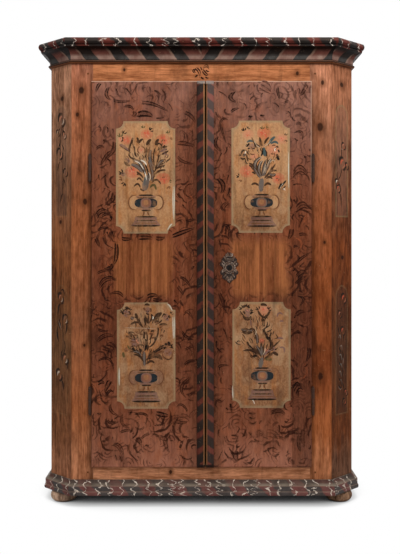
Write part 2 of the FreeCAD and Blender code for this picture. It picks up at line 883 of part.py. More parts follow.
# Every node and its solids
nodes = {}
for name, centre in foot_places():
    nodes[name + "_foot"] = [foot(centre)]
for run, name in enumerate(run_names):
    nodes["base_" + name] = [base_rail(run)]
    nodes["cornice_" + name] = [cornice_run(run)]
nodes["base_rear_rail"] = [base_rear_rail()]
nodes["cornice_rear_rail"] = [cornice_rear_rail()]
nodes["left_side_board"] = [upright(0)]
nodes["left_corner_board"] = [upright(1)]
nodes["right_corner_board"] = [upright(3)]
nodes["right_side_board"] = [upright(4)]
nodes["left_front_stile"] = [stile(-1)]
nodes["right_front_stile"] = [stile(1)]
nodes["top_front_rail"] = [rail("top")]
nodes["bottom_front_rail"] = [rail("bottom")]
nodes["frame_pegs"] = frame_pegs()
nodes["floor_board"] = [nailed(plain_floor())]
nodes["top_board"] = [nailed(plain_top())]
for name, height in zip(("lower", "middle", "upper"), shelf_heights):
    nodes[name + "_shelf"] = [nailed(plain_shelf(height))]
nodes["shelf_cleats"] = shelf_cleats()
for index, name in enumerate(back_board_names):
    nodes["back_board_" + name] = [back_board(index)]
nodes["back_board_nails"] = back_nails()
for side, name in ((-1, "left"), (1, "right")):
    wide, narrow = door_boards(side)
    nodes[name + "_door_wide_board"] = [wide]
    nodes[name + "_door_narrow_board"] = [narrow]
    nodes[name + "_door_lower_batten"] = [batten(side, lower_batten_height)]
    nodes[name + "_door_upper_batten"] = [batten(side, upper_batten_height)]
    nodes[name + "_meeting_strip"] = [meeting_strip(side)]
    nodes[name + "_hinge_frame_leaves"] = hinge_halves(side, -1)
    nodes[name + "_hinge_door_leaves"] = hinge_halves(side, 1)
nodes["hinge_pins"] = hinge_pins()
nodes["escutcheon"] = [escutcheon()]
nodes["escutcheon_nails"] = escutcheon_nails()
nodes["lock_case"] = [lock_case()]
nodes["lock_bolt"] = [lock_bolt()]
nodes["lock_spring"] = [lock_spring()]
nodes["lock_keeper"] = [lock_keeper()]
nodes["upper_slide_bolt"] = [slide_bolt(1)]
nodes["lower_slide_bolt"] = [slide_bolt(-1)]
nodes["bolt_plates"] = [bolt_plate(1), bolt_plate(-1)]

os.makedirs("parts", exist_ok=True)
for name, solids in nodes.items():
    shape = solids[0] if len(solids) == 1 else Part.makeCompound(solids)
    shape.exportStep("parts/" + name + ".step")
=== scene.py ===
import math
import random

import bmesh
import bpy
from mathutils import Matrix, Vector


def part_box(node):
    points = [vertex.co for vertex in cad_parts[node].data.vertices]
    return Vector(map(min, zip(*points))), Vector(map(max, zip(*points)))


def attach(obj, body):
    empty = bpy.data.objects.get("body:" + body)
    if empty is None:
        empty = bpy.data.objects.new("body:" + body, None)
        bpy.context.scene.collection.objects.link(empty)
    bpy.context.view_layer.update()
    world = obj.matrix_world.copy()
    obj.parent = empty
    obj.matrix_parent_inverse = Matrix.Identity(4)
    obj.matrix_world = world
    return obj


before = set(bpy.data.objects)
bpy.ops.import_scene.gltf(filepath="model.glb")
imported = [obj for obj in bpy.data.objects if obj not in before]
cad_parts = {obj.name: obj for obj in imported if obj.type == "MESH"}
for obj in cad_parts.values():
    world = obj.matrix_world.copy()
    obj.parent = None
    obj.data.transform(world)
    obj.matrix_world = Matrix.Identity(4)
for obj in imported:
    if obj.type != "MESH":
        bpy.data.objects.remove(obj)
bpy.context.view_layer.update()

# The studio: a level camera on the middle plane, 3.2 m before the face frame, four soft lamps, and a white
# room. The picture is 400 by 554, and its horizon lies above its middle, hence the shift.
MM = 0.001
studio = bpy.context.scene
picture_width, picture_height = 400, 554
focal_pixels, horizon_row, middle_column = 824, 240, 201.5
eye_distance, eye_height = 3200 * MM, 1029 * MM
face_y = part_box("left_front_stile")[0].y
camera = bpy.data.cameras.new("studio_camera")
camera.sensor_width = 36
camera.lens = camera.sensor_width * focal_pixels / picture_height
camera.shift_x = (picture_width / 2 - middle_column) / picture_height
camera.shift_y = (horizon_row - picture_height / 2) / picture_height
eye = bpy.data.objects.new("studio_camera", camera)
eye.location = (0, face_y - eye_distance, eye_height)
eye.rotation_euler = (math.radians(90), 0, 0)
studio.collection.objects.link(eye)
studio.camera = eye
studio.view_settings.view_transform = "Standard"


class Value:
    """A number, place or colour that a finish works out at each point. A sum with it makes another one."""

    def __init__(self, socket):
        self.socket, self.tree = socket, socket.id_data

    def __add__(self, other):
        return calc("ADD", self, other)

    def __sub__(self, other):
        return calc("SUBTRACT", self, other)

    def __rsub__(self, other):
        return calc("SUBTRACT", other, self)

    def __mul__(self, other):
        return calc("MULTIPLY", self, other)

    def __truediv__(self, other):
        return calc("DIVIDE", self, other)


def add(kind, sockets=(), tree=None, **settings):
    """A new node's results, by name. sockets gives its inputs by name or number, as plain values or
    as results of other nodes; tree is needed only where none of them is a result."""
    sockets = dict(sockets)
    tree = tree or next(given.tree for given in sockets.values() if isinstance(given, Value))
    node = tree.nodes.new("ShaderNode" + kind)
    for name, setting in settings.items():
        setattr(node, name, setting)
    for name, given in sockets.items():
        if isinstance(given, Value):
            tree.links.new(given.socket, node.inputs[name])
        else:
            node.inputs[name].default_value = given
    return {result.name: Value(result) for result in node.outputs if result.enabled}


def calc(operation, first, second=0.0, clamp=False):
    """A sum with one or two values."""
    return add("Math", {0: first, 1: second}, operation=operation, use_clamp=clamp)["Value"]


def ramp(value, *stops):
    """A run of colours over the value 0 to 1; each stop is a place and a colour."""
    colour = add("ValToRGB", {"Fac": value})["Color"]
    elements = colour.socket.node.color_ramp.elements
    while len(elements) < len(stops):
        elements.new(0.5)
    for element, (place, paint) in zip(elements, stops):
        element.position, element.color = place, paint
    return colour


def softbox(name, place, aim, width, height, power, colour):
    """A square soft lamp, turned to face the point aim."""
    lamp = bpy.data.lights.new(name, "AREA")
    lamp.shape, lamp.size, lamp.size_y = "RECTANGLE", width, height
    lamp.energy, lamp.color = power, colour
    holder = bpy.data.objects.new(name, lamp)
    holder.location = place
    holder.rotation_euler = (Vector(aim) - Vector(place)).to_track_quat("-Z", "Y").to_euler()
    studio.collection.objects.link(holder)


def show(lighting, seen, output):
    """Sends light on with one shader, and shows another to the eye, straight, in a gloss or through glass."""
    rays = add("LightPath", tree=lighting.tree)
    sight = calc("MAXIMUM", rays["Is Camera Ray"], rays["Is Glossy Ray"])
    sight = calc("MAXIMUM", sight, rays["Is Transmission Ray"])
    add(output, {"Surface": add("MixShader", {0: sight, 1: lighting, 2: seen})["Shader"]})


warm_white = (1, 0.98, 0.96)
softbox("top_softbox", (0.7, -2.3, 3.5), (0, -0.1, 1.0), 2.2, 1.4, 78, (1, 0.98, 0.95))
softbox("left_softbox", (-2.9, -2.6, 2.3), (0, 0, 1.2), 1.6, 2.0, 14, warm_white)
softbox("right_softbox", (3.0, -2.2, 2.4), (0, 0, 1.3), 1.4, 2.0, 15, warm_white)
softbox("rear_softbox", (0, 3.3, 2.7), (0, 0.2, 0.9), 2.4, 1.8, 30, warm_white)

sky = bpy.data.worlds.new("white_studio")
sky.use_nodes = True
sky.node_tree.nodes.clear()
studio.world = sky
room_light, white_ground = (
    add("Background", {"Color": (1, 1, 1, 1), "Strength": strength}, sky.node_tree)["Background"]
    for strength in (0.2, 1))
show(room_light, white_ground, "OutputWorld")

floor_reach = 2.6
floor_corners = ((-1, -1), (1, -1), (1, 1), (-1, 1))
floor_mesh = bpy.data.meshes.new("studio_floor")
floor_mesh.from_pydata([(x * floor_reach, y * floor_reach, 0) for x, y in floor_corners], [], [(0, 1, 2, 3)])
studio_floor = bpy.data.objects.new("studio_floor", floor_mesh)
studio.collection.objects.link(studio_floor)
pale_floor = bpy.data.materials.new("pale_floor")
pale_floor.use_nodes = True
tree = pale_floor.node_tree
tree.nodes.clear()
# The floor the eye sees is white light dimmed by how closed in it is under and round the cupboard: a painted
# contact shadow, not one the lamps cast.
shadow_steps = ((0.055, 0.01), (0.09, 0.12), (0.135, 0.28), (0.23, 0.47), (0.43, 0.68), (0.56, 0.9),
                (0.64, 1))
open_sky = add("AmbientOcclusion", {"Distance": 0.5}, tree, samples=48)["AO"]
contact_shadow = ramp(open_sky, *((share, (grey, grey, grey, 1)) for share, grey in shadow_steps))
show(add("BsdfDiffuse", {"Color": (0.8, 0.8, 0.8, 1)}, tree)["BSDF"],
     add("Emission", {"Color": contact_shadow})["Emission"], "OutputMaterial")
floor_mesh.materials.append(pale_floor)


# The face frame: two stiles and two rails of softwood, pegged at the corners, stained orange brown
# and waxed. The grain runs along each board; knots show in the stiles.
def tone(red, green, blue):
    """A colour as the eye reads it, 0 to 255, turned into the linear colour that a shader takes."""
    shares = [value / 255 for value in (red, green, blue)]
    return tuple(s / 12.92 if s <= 0.04045 else ((s + 0.055) / 1.055) ** 2.4 for s in shares) + (1.0,)


def axes(place):
    """The place's own X, Y and Z."""
    return add("SeparateXYZ", {"Vector": place})


def reach_along(place, direction):
    """How far the place lies in a direction."""
    return add("VectorMath", {0: place, 1: direction}, operation="DOT_PRODUCT")["Value"]


def facing_up(tree):
    """How far the surface faces up, 1 where it is level."""
    return axes(add("NewGeometry", tree=tree)["Normal"])["Z"]


def vary(place, stretch, detail=3.0, rough=0.55, warp=0.0):
    """Cloudy noise, at so many patches to the metre along X, Y and Z, or all ways alike."""
    stretch = stretch if isinstance(stretch, tuple) else (stretch,) * 3
    spread = add("VectorMath", {0: place, 1: stretch}, operation="MULTIPLY")["Vector"]
    settings = {"Vector": spread, "Scale": 1.0, "Detail": detail, "Roughness": rough, "Distortion": warp}
    return add("TexNoise", settings)["Fac"]


def between(value, low, high):
    """0 below low, 1 above high, and a smooth step from one to the other."""
    sockets = {"Value": value, "From Min": low, "From Max": high}
    return add("MapRange", sockets, interpolation_type="SMOOTHSTEP")["Result"]


def within(value, start, full, fading, end):
    """0 up to start, 1 from full to fading, and 0 again from end."""
    return between(value, start, full) * (1 - between(value, fading, end))


def near(value, middle, inner, outer):
    """1 within inner of the middle, 0 beyond outer."""
    return 1 - between(calc("ABSOLUTE", value - middle), inner, outer)


def patches(place, stretch, low, high, *noise):
    """Loose patches: 1 where cloudy noise is over high, 0 where it is under low."""
    return between(vary(place, stretch, *noise), low, high)


def tint(share, under, over, way="MIX"):
    """The colour over laid on the colour under."""
    return add("Mix", {0: share, 6: under, 7: over}, data_type="RGBA", blend_type=way)["Result"]


def layered(colour, *layers):
    """A colour under several layers; each is its share and its own colour."""
    for share, over in layers:
        colour = tint(share, colour, over)
    return colour


def new_group(name, inputs, outputs):
    """An effect that several finishes share: its group, and what it is given."""
    group = bpy.data.node_groups.new(name, "ShaderNodeTree")
    kinds = {"Place": "NodeSocketVector", **dict.fromkeys(("Pale", "Deep", "Color"), "NodeSocketColor")}
    for way, names in (("INPUT", inputs), ("OUTPUT", outputs)):
        for socket in names:
            kind = kinds.get(socket, "NodeSocketFloat")
            group.interface.new_socket(name=socket, in_out=way, socket_type=kind)
    return group, {socket.name: Value(socket) for socket in group.nodes.new("NodeGroupInput").outputs}


def give(group, **results):
    """Links the group's results to its outputs."""
    output = group.nodes.new("NodeGroupOutput")
    for name, result in results.items():
        group.links.new(result.socket, output.inputs[name])


def use(group, **sockets):
    """Places a group in a finish, with this finish's own values."""
    return add("Group", sockets, node_tree=group)


def new_finish(name):
    """A material, its shader, and the place on the piece in the part's own frame."""
    material = bpy.data.materials.new(name)
    material.use_nodes = True
    tree = material.node_tree
    return material, tree.nodes["Principled BSDF"], add("TexCoord", tree=tree)["Object"]


def dress(shader, colour, rough, height, depth, gloss=0.04):
    """Gives the shader its colour, roughness, gloss and relief, whose height is depth in metres."""
    relief = add("Bump", {"Height": height, "Distance": depth, "Strength": 0.6})["Normal"]
    for name, value in (("Base Color", colour), ("Roughness", rough), ("Normal", relief)):
        value.tree.links.new(value.socket, shader.inputs[name])
    shader.inputs["Specular IOR Level"].default_value = gloss


def dress_aged_and_shaded(shader, place, colour, rough, height, depth, dust):
    """The same under dirt, wear and dust, with painted shade in corners and creases."""
    aged = use(wear_and_corner_shade, Place=place, Color=colour, Dust=dust)
    dress(shader, aged["Color"], rough + aged["Rough"], height, depth)


def paint_nodes(material, *names):
    """Gives CAD nodes their finish."""
    for name in names:
        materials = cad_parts[name].data.materials
        materials.clear()
        materials.append(material)


board_wood, given = new_group("board_wood", ("Place", "Pale", "Deep"), ("Color", "Rough", "Height"))
place = given["Place"]
fibre = vary(place, (230, 230, 9), 5, 0.66)
streaks = vary(place, (36, 36, 1.4), 4, 0.6, 0.6)
blotches = vary(place, (10, 10, 3.8), 4, 0.6, 0.4)
mottle = vary(place, (95, 95, 24), 4, 0.65)
shade = fibre * 0.45 + streaks * 0.3 + blotches * 0.35 + mottle * 0.5
late_wood = patches(place, (88, 88, 1.1), 0.56, 0.68, 3, 0.5, 0.3)
pores = patches(place, (620, 620, 16), 0.62, 0.72, 2)
colour = tint(between(shade, 0.62, 0.98), given["Deep"], given["Pale"])
colour = tint(calc("MAXIMUM", late_wood, pores) * 0.3, colour, given["Deep"])
give(board_wood, Color=colour, Rough=fibre * 0.22 + 0.4, Height=fibre - pores * 0.6)

wear_and_corner_shade, given = new_group("wear_and_corner_shade", ("Place", "Color", "Dust"), ("Color", "Rough"))
place = given["Place"]
grime = patches(place, (12, 12, 7), 0.5, 0.74, 5, 0.68)
smoke = patches(place, (34, 34, 4.5), 0.54, 0.74, 4, 0.62, 0.3)
rubs = patches(place, (150, 150, 90), 0.66, 0.76, 3, 0.6)
# corner is painted shade: darker where nearby parts close the surface in, in corners and creases.
corner = 1 - between(add("AmbientOcclusion", {"Distance": 16 * MM}, wear_and_corner_shade, samples=6)["AO"], 0.2, 0.85)
specks = patches(place, (300, 300, 240), 0.74, 0.8, 1)
scrapes = patches(place, (40, 40, 420), 0.735, 0.78, 2, 0.5, 0.4)
dust = between(facing_up(wear_and_corner_shade), 0.55, 0.95) * given["Dust"] * patches(place, 18, 0.25, 0.7, 4)
colour = layered(given["Color"], (grime * 0.42, tone(46, 26, 16)), (smoke * 0.34, tone(40, 24, 17)),
                 (rubs * 0.3, tone(204, 158, 118)), (corner * 0.6, tone(30, 18, 12)),
                 (specks * 0.5, tone(40, 24, 16)), (scrapes * 0.3, tone(214, 176, 138)),
                 (dust, tone(150, 138, 122)))
give(wear_and_corner_shade, Color=colour, Rough=grime * 0.14 + dust * 0.3)

knot, given = new_group("knot", ("Place", "X", "Z", "Size"), ("Mask", "Halo"))
here = axes(given["Place"])
across, along = here["X"] - given["X"], (here["Z"] - given["Z"]) * 0.72
away = calc("SQRT", across * across + along * along) / given["Size"]
away = away - 0.25 + vary(given["Place"], (90, 90, 60)) * 0.5
give(knot, Mask=1 - between(away, 0.55, 1.0), Halo=1 - between(away, 0.9, 2.6))

grain_turns = {"X": (0, math.radians(-90), 0), "Y": (math.radians(90), 0, 0), "Z": (0, 0, 0)}


def grain_place(place, along, seed):
    """The place turned so that the board's length is Z, and shifted so that boards differ."""
    shift = (seed * 1.37, seed * 0.71, seed * 2.13)
    return add("Mapping", {"Vector": place, "Rotation": grain_turns[along], "Location": shift})["Vector"]


def plain_wood(place, along, seed, pale, deep):
    """Softwood of one pale and one deep tone."""
    return use(board_wood, Place=grain_place(place, along, seed), Pale=pale, Deep=deep)


def stained_wood(place, along, seed, stain_and_light, late):
    """Softwood whose colour changes with height, partly the wood's own uneven staining and partly painted
    light, mostly lighter towards the top: its stops give heights in metres, upwards, with the pale
    wood's red, green and blue there, and late is how the late wood shades them."""
    grain = grain_place(place, along, seed)
    rise = (vary(grain, (40, 40, 3), 4) - 0.5) * 0.3 + axes(place)["Z"]
    pale = ramp(rise / stain_top, *((height / stain_top, tone(*colour)) for height, *colour in stain_and_light))
    return use(board_wood, Place=grain, Pale=pale, Deep=tint(1.0, pale, late, "MULTIPLY"))


def stained_board(name, along, seed, stain_and_light, late, outward, skin, knots=(), darkened_within=0.0):
    """A board that is stained on its outer face and bare inside; outward and skin say where that face lies,
    and the last argument, where given, is the distance from the middle within which it is darker,
    fading out over 26 mm."""
    material, shader, place = new_finish(name)
    wood = stained_wood(place, along, seed, stain_and_light, late)
    colour = wood["Color"]
    for x, z, size in knots:
        spot = use(knot, Place=place, X=x * MM, Z=z * MM, Size=size * MM)
        colour = layered(colour, (spot["Halo"] * 0.55, tone(98, 52, 27)),
                         (spot["Mask"] * 0.9, tone(46, 25, 16)))
    if darkened_within:
        edge_darkening = near(axes(place)["X"], 0, darkened_within, darkened_within + 26 * MM)
        colour = tint(edge_darkening * 0.5, colour, tone(50, 25, 13))
    ragged_edge = wood["Height"] * (2 * MM) + reach_along(place, outward)
    bare = plain_wood(place, along, seed + 3, raw_pale, raw_deep)["Color"]
    colour = tint(between(ragged_edge, skin - 3 * MM, skin - 1 * MM), bare, colour)
    dress_aged_and_shaded(shader, place, colour, wood["Rough"], wood["Height"], 0.5 * MM, 0.5)
    return material


raw_pale, raw_deep, frame_late = tone(186, 146, 102), tone(118, 80, 50), tone(164, 150, 136)
door_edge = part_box("right_door_narrow_board")[1].x
stain_top, front_skin = 1.8, -face_y
across_front, out_front = (1, 0, 0), (0, -1, 0)
stile_knots = {"left": ((-466, 1610, 13), (-482, 1516, 8), (-452, 1178, 11), (-455, 620, 6)),
               "right": ((460, 1468, 15), (462, 500, 13), (478, 1020, 6), (470, 1640, 8))}
# Each stop's colour is partly the wood's own staining and partly painted light, mostly lighter towards the
# top.
stile_stains_and_light = {
    "left": ((0.15, 214, 144, 104), (0.35, 194, 118, 74), (0.7, 176, 110, 74), (1.05, 188, 113, 70),
             (1.28, 164, 98, 64), (1.5, 204, 128, 89), (1.7, 208, 136, 105)),
    "right": ((0.15, 216, 140, 96), (0.27, 194, 114, 67), (0.52, 142, 75, 41), (0.85, 166, 92, 51),
              (1.2, 172, 102, 65), (1.45, 180, 120, 89), (1.68, 242, 168, 131))}
for seed, side in enumerate(("left", "right")):
    stile_wood = stained_board(side + "_stile_wood", "Z", 1.0 + seed, stile_stains_and_light[side], frame_late,
                               out_front, front_skin, stile_knots[side], door_edge)
    paint_nodes(stile_wood, side + "_front_stile")
rail_seeds = {"top": 5, "bottom": 7}
# As on the stiles, partly staining and partly painted light.
rail_stains_and_light = {"top": ((1.6, 208, 134, 90), (1.7, 216, 140, 93)),
               "bottom": ((0.1, 212, 146, 108), (0.15, 226, 157, 116))}
rail_knots = {"top": ((-300, 1690, 6), (372, 1676, 7)), "bottom": ((-120, 128, 7),)}
for level, seed in rail_seeds.items():
    rail_wood = stained_board(level + "_rail_wood", "X", seed, rail_stains_and_light[level], frame_late, out_front,
                              front_skin, rail_knots[level])
    paint_nodes(rail_wood, level + "_front_rail")
peg_wood, shader, place = new_finish("peg_end_grain")
peg = plain_wood(place, "Y", 2, tone(150, 92, 54), tone(78, 44, 25))
dress(shader, peg["Color"], peg["Rough"], peg["Height"], 0.4 * MM)
paint_nodes(peg_wood, "frame_pegs")

# The canted corner boards and the sides: wide softwood boards set on edge, housed at floor and top.
# They have the same stain, greyer on the cants, and are bare inside.
half_root = math.sqrt(0.5)
cant_x, side_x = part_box("right_front_stile")[1].x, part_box("right_side_board")[1].x
cant_late = tone(132, 118, 104)
cant_seeds = {"left": 9, "right": 10}
# As on the stiles, partly staining and partly painted light, lighter towards the top.
cant_stains_and_light = {
    "left": ((0.15, 208, 140, 102), (0.26, 170, 108, 70), (0.6, 148, 100, 64), (0.95, 180, 109, 64),
             (1.3, 186, 129, 94), (1.6, 246, 180, 142)),
    "right": ((0.15, 140, 97, 74), (0.25, 134, 74, 39), (0.6, 113, 68, 42), (1.0, 150, 79, 40),
              (1.35, 168, 113, 84), (1.6, 212, 140, 103))}
cant_knots = {"left": ((-548, 1585, 9), (-556, 1100, 7)), "right": ((552, 1640, 9), (556, 960, 8))}
side_stain = ((0.1, 168, 108, 70), (1.7, 160, 102, 66))
side_knots = ((0, 1350, 9), (140, 640, 8))
for seed, (side, way) in enumerate((("left", -1), ("right", 1))):
    cant_out = (way * half_root, -half_root, 0)
    cant_skin = Vector((way * cant_x, face_y, 0)).dot(Vector(cant_out))
    corner_wood = stained_board(side + "_corner_wood", "Z", cant_seeds[side], cant_stains_and_light[side], cant_late,
                                cant_out, cant_skin, cant_knots[side])
    paint_nodes(corner_wood, side + "_corner_board")
    side_wood = stained_board(side + "_side_wood", "Z", 13 + seed, side_stain, cant_late, (way, 0, 0),
                              side_x, side_knots)
    paint_nodes(side_wood, side + "_side_board")


# The unseen carcass: floor, top, shelves, cleats, back boards and door battens, of unpainted softwood
# gone grey and brown with age. The back boards are nailed to floor, shelves and top.
def bare_board(name, along, seed, pale, deep):
    """Unpainted softwood, planed and left bare."""
    material, shader, place = new_finish(name)
    wood = plain_wood(place, along, seed, pale, deep)
    dress_aged_and_shaded(shader, place, wood["Color"], wood["Rough"] + 0.2, wood["Height"], 0.7 * MM, 0.65)
    return material


back_tones = {"left": (tone(158, 122, 86), tone(98, 72, 49)),
              "middle_left": (tone(136, 102, 70), tone(82, 59, 40)),
              "middle_right": (tone(166, 130, 92), tone(104, 77, 53)),
              "right": (tone(144, 112, 82), tone(88, 66, 48))}
for seed, (name, tones) in enumerate(back_tones.items()):
    paint_nodes(bare_board("back_wood_" + name, "Z", 21 + seed, *tones), "back_board_" + name)
shelf_wood = bare_board("shelf_wood", "X", 31, tone(184, 144, 100), tone(124, 88, 56))
paint_nodes(shelf_wood, "floor_board", "top_board", "lower_shelf", "middle_shelf", "upper_shelf")
rear_wood = bare_board("rear_rail_wood", "X", 33, tone(146, 110, 76), tone(86, 60, 40))
paint_nodes(rear_wood, "cornice_rear_rail", "base_rear_rail")
cleat_wood = bare_board("cleat_wood", "Y", 35, tone(176, 136, 94), tone(112, 78, 50))
paint_nodes(cleat_wood, "shelf_cleats")
batten_wood = bare_board("batten_wood", "X", 37, tone(178, 138, 96), tone(116, 80, 52))
paint_nodes(batten_wood, *(side + "_door_" + level + "_batten" for side in ("left", "right")
                           for level in ("lower", "upper")))

# The feet: four squat turned balls of the same softwood, dowelled into the base and left brown.
# The left pair is the paler.
foot_tones = {"left": (tone(240, 200, 170), tone(124, 92, 72)),
              "right": (tone(178, 138, 108), tone(84, 60, 45))}
for seed, (side, tones) in enumerate(foot_tones.items()):
    foot_wood = bare_board(side + "_foot_wood", "Z", 41 + seed, *tones)
    paint_nodes(foot_wood, "front_" + side + "_foot", "rear_" + side + "_foot")

# The cornice: a moulded softwood frame that sits over the carcass, painted to look like marble. The slab
# is black and dull red with white lightning veins; the cove has slanted stripes; the top is bare.
veins, given = new_group("lightning_veins", ("Along", "Up", "Middle", "Pitch", "Reach", "Width"), ("Mask",))
up = given["Up"]
flat_place = add("CombineXYZ", {"X": given["Along"], "Y": up})["Vector"]
wander = vary(flat_place, 40, 3, 0.6) - 0.5
turns = given["Along"] / given["Pitch"]
chance = add("TexWhiteNoise", {"W": calc("FLOOR", turns)}, noise_dimensions="1D")["Color"]
chance = add("SeparateColor", {"Color": chance})
bends = wander * 0.016 + (chance["Red"] * 0.03 + up)
bend_rise = chance["Red"] * 0.012 + 0.008
kink = calc("PINGPONG", bends, bend_rise) / bend_rise - 0.5
aside = kink * (given["Reach"] * (chance["Red"] * -0.5 + 1.0)) + wander * 0.055
aside = (up - given["Middle"]) * (chance["Green"] - 0.5) + aside + (chance["Blue"] - 0.5) * 0.016
from_line = calc("ABSOLUTE", (calc("FRACT", turns) - 0.5) * given["Pitch"] - aside)
line_width = given["Width"] * (vary(flat_place, 60, 2) * 2.2 - 0.4)
stroke = 1 - between(from_line / line_width, 0.5, 1.3)
give(veins, Mask=stroke * patches(flat_place, 85, 0.34, 0.54, 2))

marble, given = new_group("painted_marble", ("Along", "Up", "Pitch"), ("Color", "Rough"))
flat_place = add("CombineXYZ", {"X": given["Along"], "Y": given["Up"]})["Vector"]
slide = given["Up"] * 0.8 + ((vary(flat_place, 30) - 0.5) * 0.05 + given["Along"])
block = calc("FRACT", slide / given["Pitch"])
cloud = vary(flat_place, 40, 4)
black_paint = tint(cloud, tone(14, 15, 16), tone(58, 58, 58))
red_paint = tint(cloud, tone(72, 26, 23), tone(142, 64, 56))
red_share = within(block, 0.42, 0.5, 0.9, 0.97)
give(marble, Color=tint(red_share, black_paint, red_paint), Rough=cloud * 0.25 + 0.3)

run_directions = {"front": (1, 0, 0), "left_corner": (half_root, -half_root, 0),
                  "right_corner": (half_root, half_root, 0), "left_side": (0, -1, 0), "right_side": (0, 1, 0)}
cornice_low, cornice_high = (corner.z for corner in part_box("cornice_front"))
bead_top, neck_top, cove_top = (cornice_low + rise * MM for rise in (11, 28, 59))
bead_foot, bead_light, sheen_middle = (cornice_low + rise * MM for rise in (3, 9.5, 23))
slab_middle = cornice_high - 14 * MM
stripe_pitch, stripe_lean, stripe_start, stripe_skew = 118 * MM, 0.78, 71 * MM, 22 * MM


def cornice_paint(run):
    """Marbled slab, painted darker with a lighter upper tier as painted light, a painted shadow under it,
    striped cove with a painted sheen at its foot and painted shade just above the dark bead.
    """
    material, shader, place = new_finish("cornice_paint_" + run)
    along, up = reach_along(place, run_directions[run]), axes(place)["Z"]
    stone = use(marble, Along=along, Up=up, Pitch=0.1)
    white = use(veins, Along=along, Up=up, Middle=slab_middle, Pitch=0.058, Reach=0.02, Width=0.0036)["Mask"]
    # The slab is painted darker, and its upper tier lighter and greyer: painted light from above, with the
    # lower tier in painted shade.
    lit_upper_tier = between(up, slab_middle - 2 * MM, slab_middle + 2 * MM)
    slab = layered(stone["Color"], (0.5, tone(30, 18, 12)),
                   (lit_upper_tier, tint(0.3, stone["Color"], tone(92, 76, 68))),
                   (white * 0.9, tone(232, 216, 202)))
    ragged, cloud = vary(place, 30) - 0.5, vary(place, 46, 4)
    slide = calc("ABSOLUTE", along) - (calc("SIGN", along) * -stripe_skew + stripe_start) + ragged * 0.014
    slide = slide - (up - (neck_top + cove_top) / 2) * stripe_lean
    stripe = calc("FRACT", slide / stripe_pitch + 0.5)
    black = near(stripe, 0.5, 0.2, 0.235)
    pale_edge = near(stripe, 0.75, 0.02, 0.06)
    # hollow is a painted shadow: the cove's top, under the slab, nearly black.
    hollow = between(up, cove_top - 19 * MM, cove_top - 4 * MM)
    sheen = calc("MULTIPLY", near(up, sheen_middle, 3 * MM, 16 * MM), ragged * 1.6 + 0.55, clamp=True)
    # Painted shade at the foot of the cove, just above the bead.
    neck_shade = 1 - between(up, bead_top + 1 * MM, bead_top + 6 * MM)
    cove = layered(tint(cloud, tone(70, 34, 28), tone(138, 84, 72)),
                   (black, tint(cloud, tone(16, 13, 12), tone(52, 44, 40))),
                   (pale_edge * 0.36, tone(176, 150, 128)), (hollow * 0.92, tone(8, 4, 3)),
                   (sheen, tint(black, tone(166, 138, 124), tone(86, 84, 82))),
                   (neck_shade * 0.85, tone(26, 15, 10)))
    bead = layered(tone(34, 15, 7), (near(up, bead_light, 0.8 * MM, 2 * MM), tone(112, 72, 50)),
                   (1 - between(up, bead_foot, bead_foot + 2 * MM), tone(112, 66, 40)))
    bare = plain_wood(place, "X", 61, tone(150, 114, 80), tone(92, 66, 44))["Color"]
    colour = layered(bead, (between(up, bead_top - 0.5 * MM, bead_top + 0.5 * MM), cove),
                     (between(up, cove_top, cove_top + 1.5 * MM), slab),
                     (between(facing_up(place.tree), 0.9, 0.97), bare))
    dress_aged_and_shaded(shader, place, colour, stone["Rough"], cloud, 0.5 * MM, 0.9)
    return material


for run in run_directions:
    paint_nodes(cornice_paint(run), "cornice_" + run)

# The base: moulded softwood rails mitred round three sides, over the feet. Its cove is grey green,
# its band and torus are slate and red blocks, all crossed by cream lightning veins.
base_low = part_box("base_front")[0].z
torus_top, band_top = base_low + 15 * MM, base_low + 37 * MM


def base_paint(run):
    """Marbled blocks below, grey green cove above, and painted highlights along the top edges of
    band and torus.
    """
    material, shader, place = new_finish("base_paint_" + run)
    along, up = reach_along(place, run_directions[run]), axes(place)["Z"]
    stone = use(marble, Along=along, Up=up, Pitch=0.116)
    white = use(veins, Along=along, Up=up, Middle=band_top, Pitch=0.047, Reach=0.026, Width=0.004)["Mask"]
    cloud = vary(place, 50, 4)
    ledge_highlights = calc("MAXIMUM", near(up, band_top - 1 * MM, 0.8 * MM, 2.2 * MM),
                  near(up, torus_top, 0.8 * MM, 2.0 * MM))
    colour = layered(stone["Color"], (0.26, tint(cloud, tone(104, 94, 92), tone(168, 150, 144))),
                     (between(up, band_top - 1 * MM, band_top + 1 * MM) * 0.62,
                      tint(cloud, tone(44, 37, 32), tone(106, 86, 74))),
                     (white * 0.95, tone(238, 224, 208)), (ledge_highlights * 0.28, tone(190, 160, 140)))
    dress_aged_and_shaded(shader, place, colour, stone["Rough"], cloud, 0.5 * MM, 0.8)
    return material


for run in run_directions:
    paint_nodes(base_paint(run), "base_" + run)

# The doors: each of two boards glued edge to edge on two battens, with a lipped edge. The front has a
# thin red brown ground, rubbed to orange between the fields, and lighter and mauve at the top with a
# painted glare of the lamp above.
door_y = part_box("left_door_wide_board")[0].y
door_low, door_high = (corner.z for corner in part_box("left_door_wide_board"))
outer_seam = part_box("right_door_narrow_board")[0].x
strip_left, strip_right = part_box("left_meeting_strip"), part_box("right_meeting_strip")
meeting_x = (strip_left[1].x + strip_right[0].x) / 2
band_low, band_high, band_near, band_far = 800 * MM, 1046 * MM, 100 * MM, 345 * MM

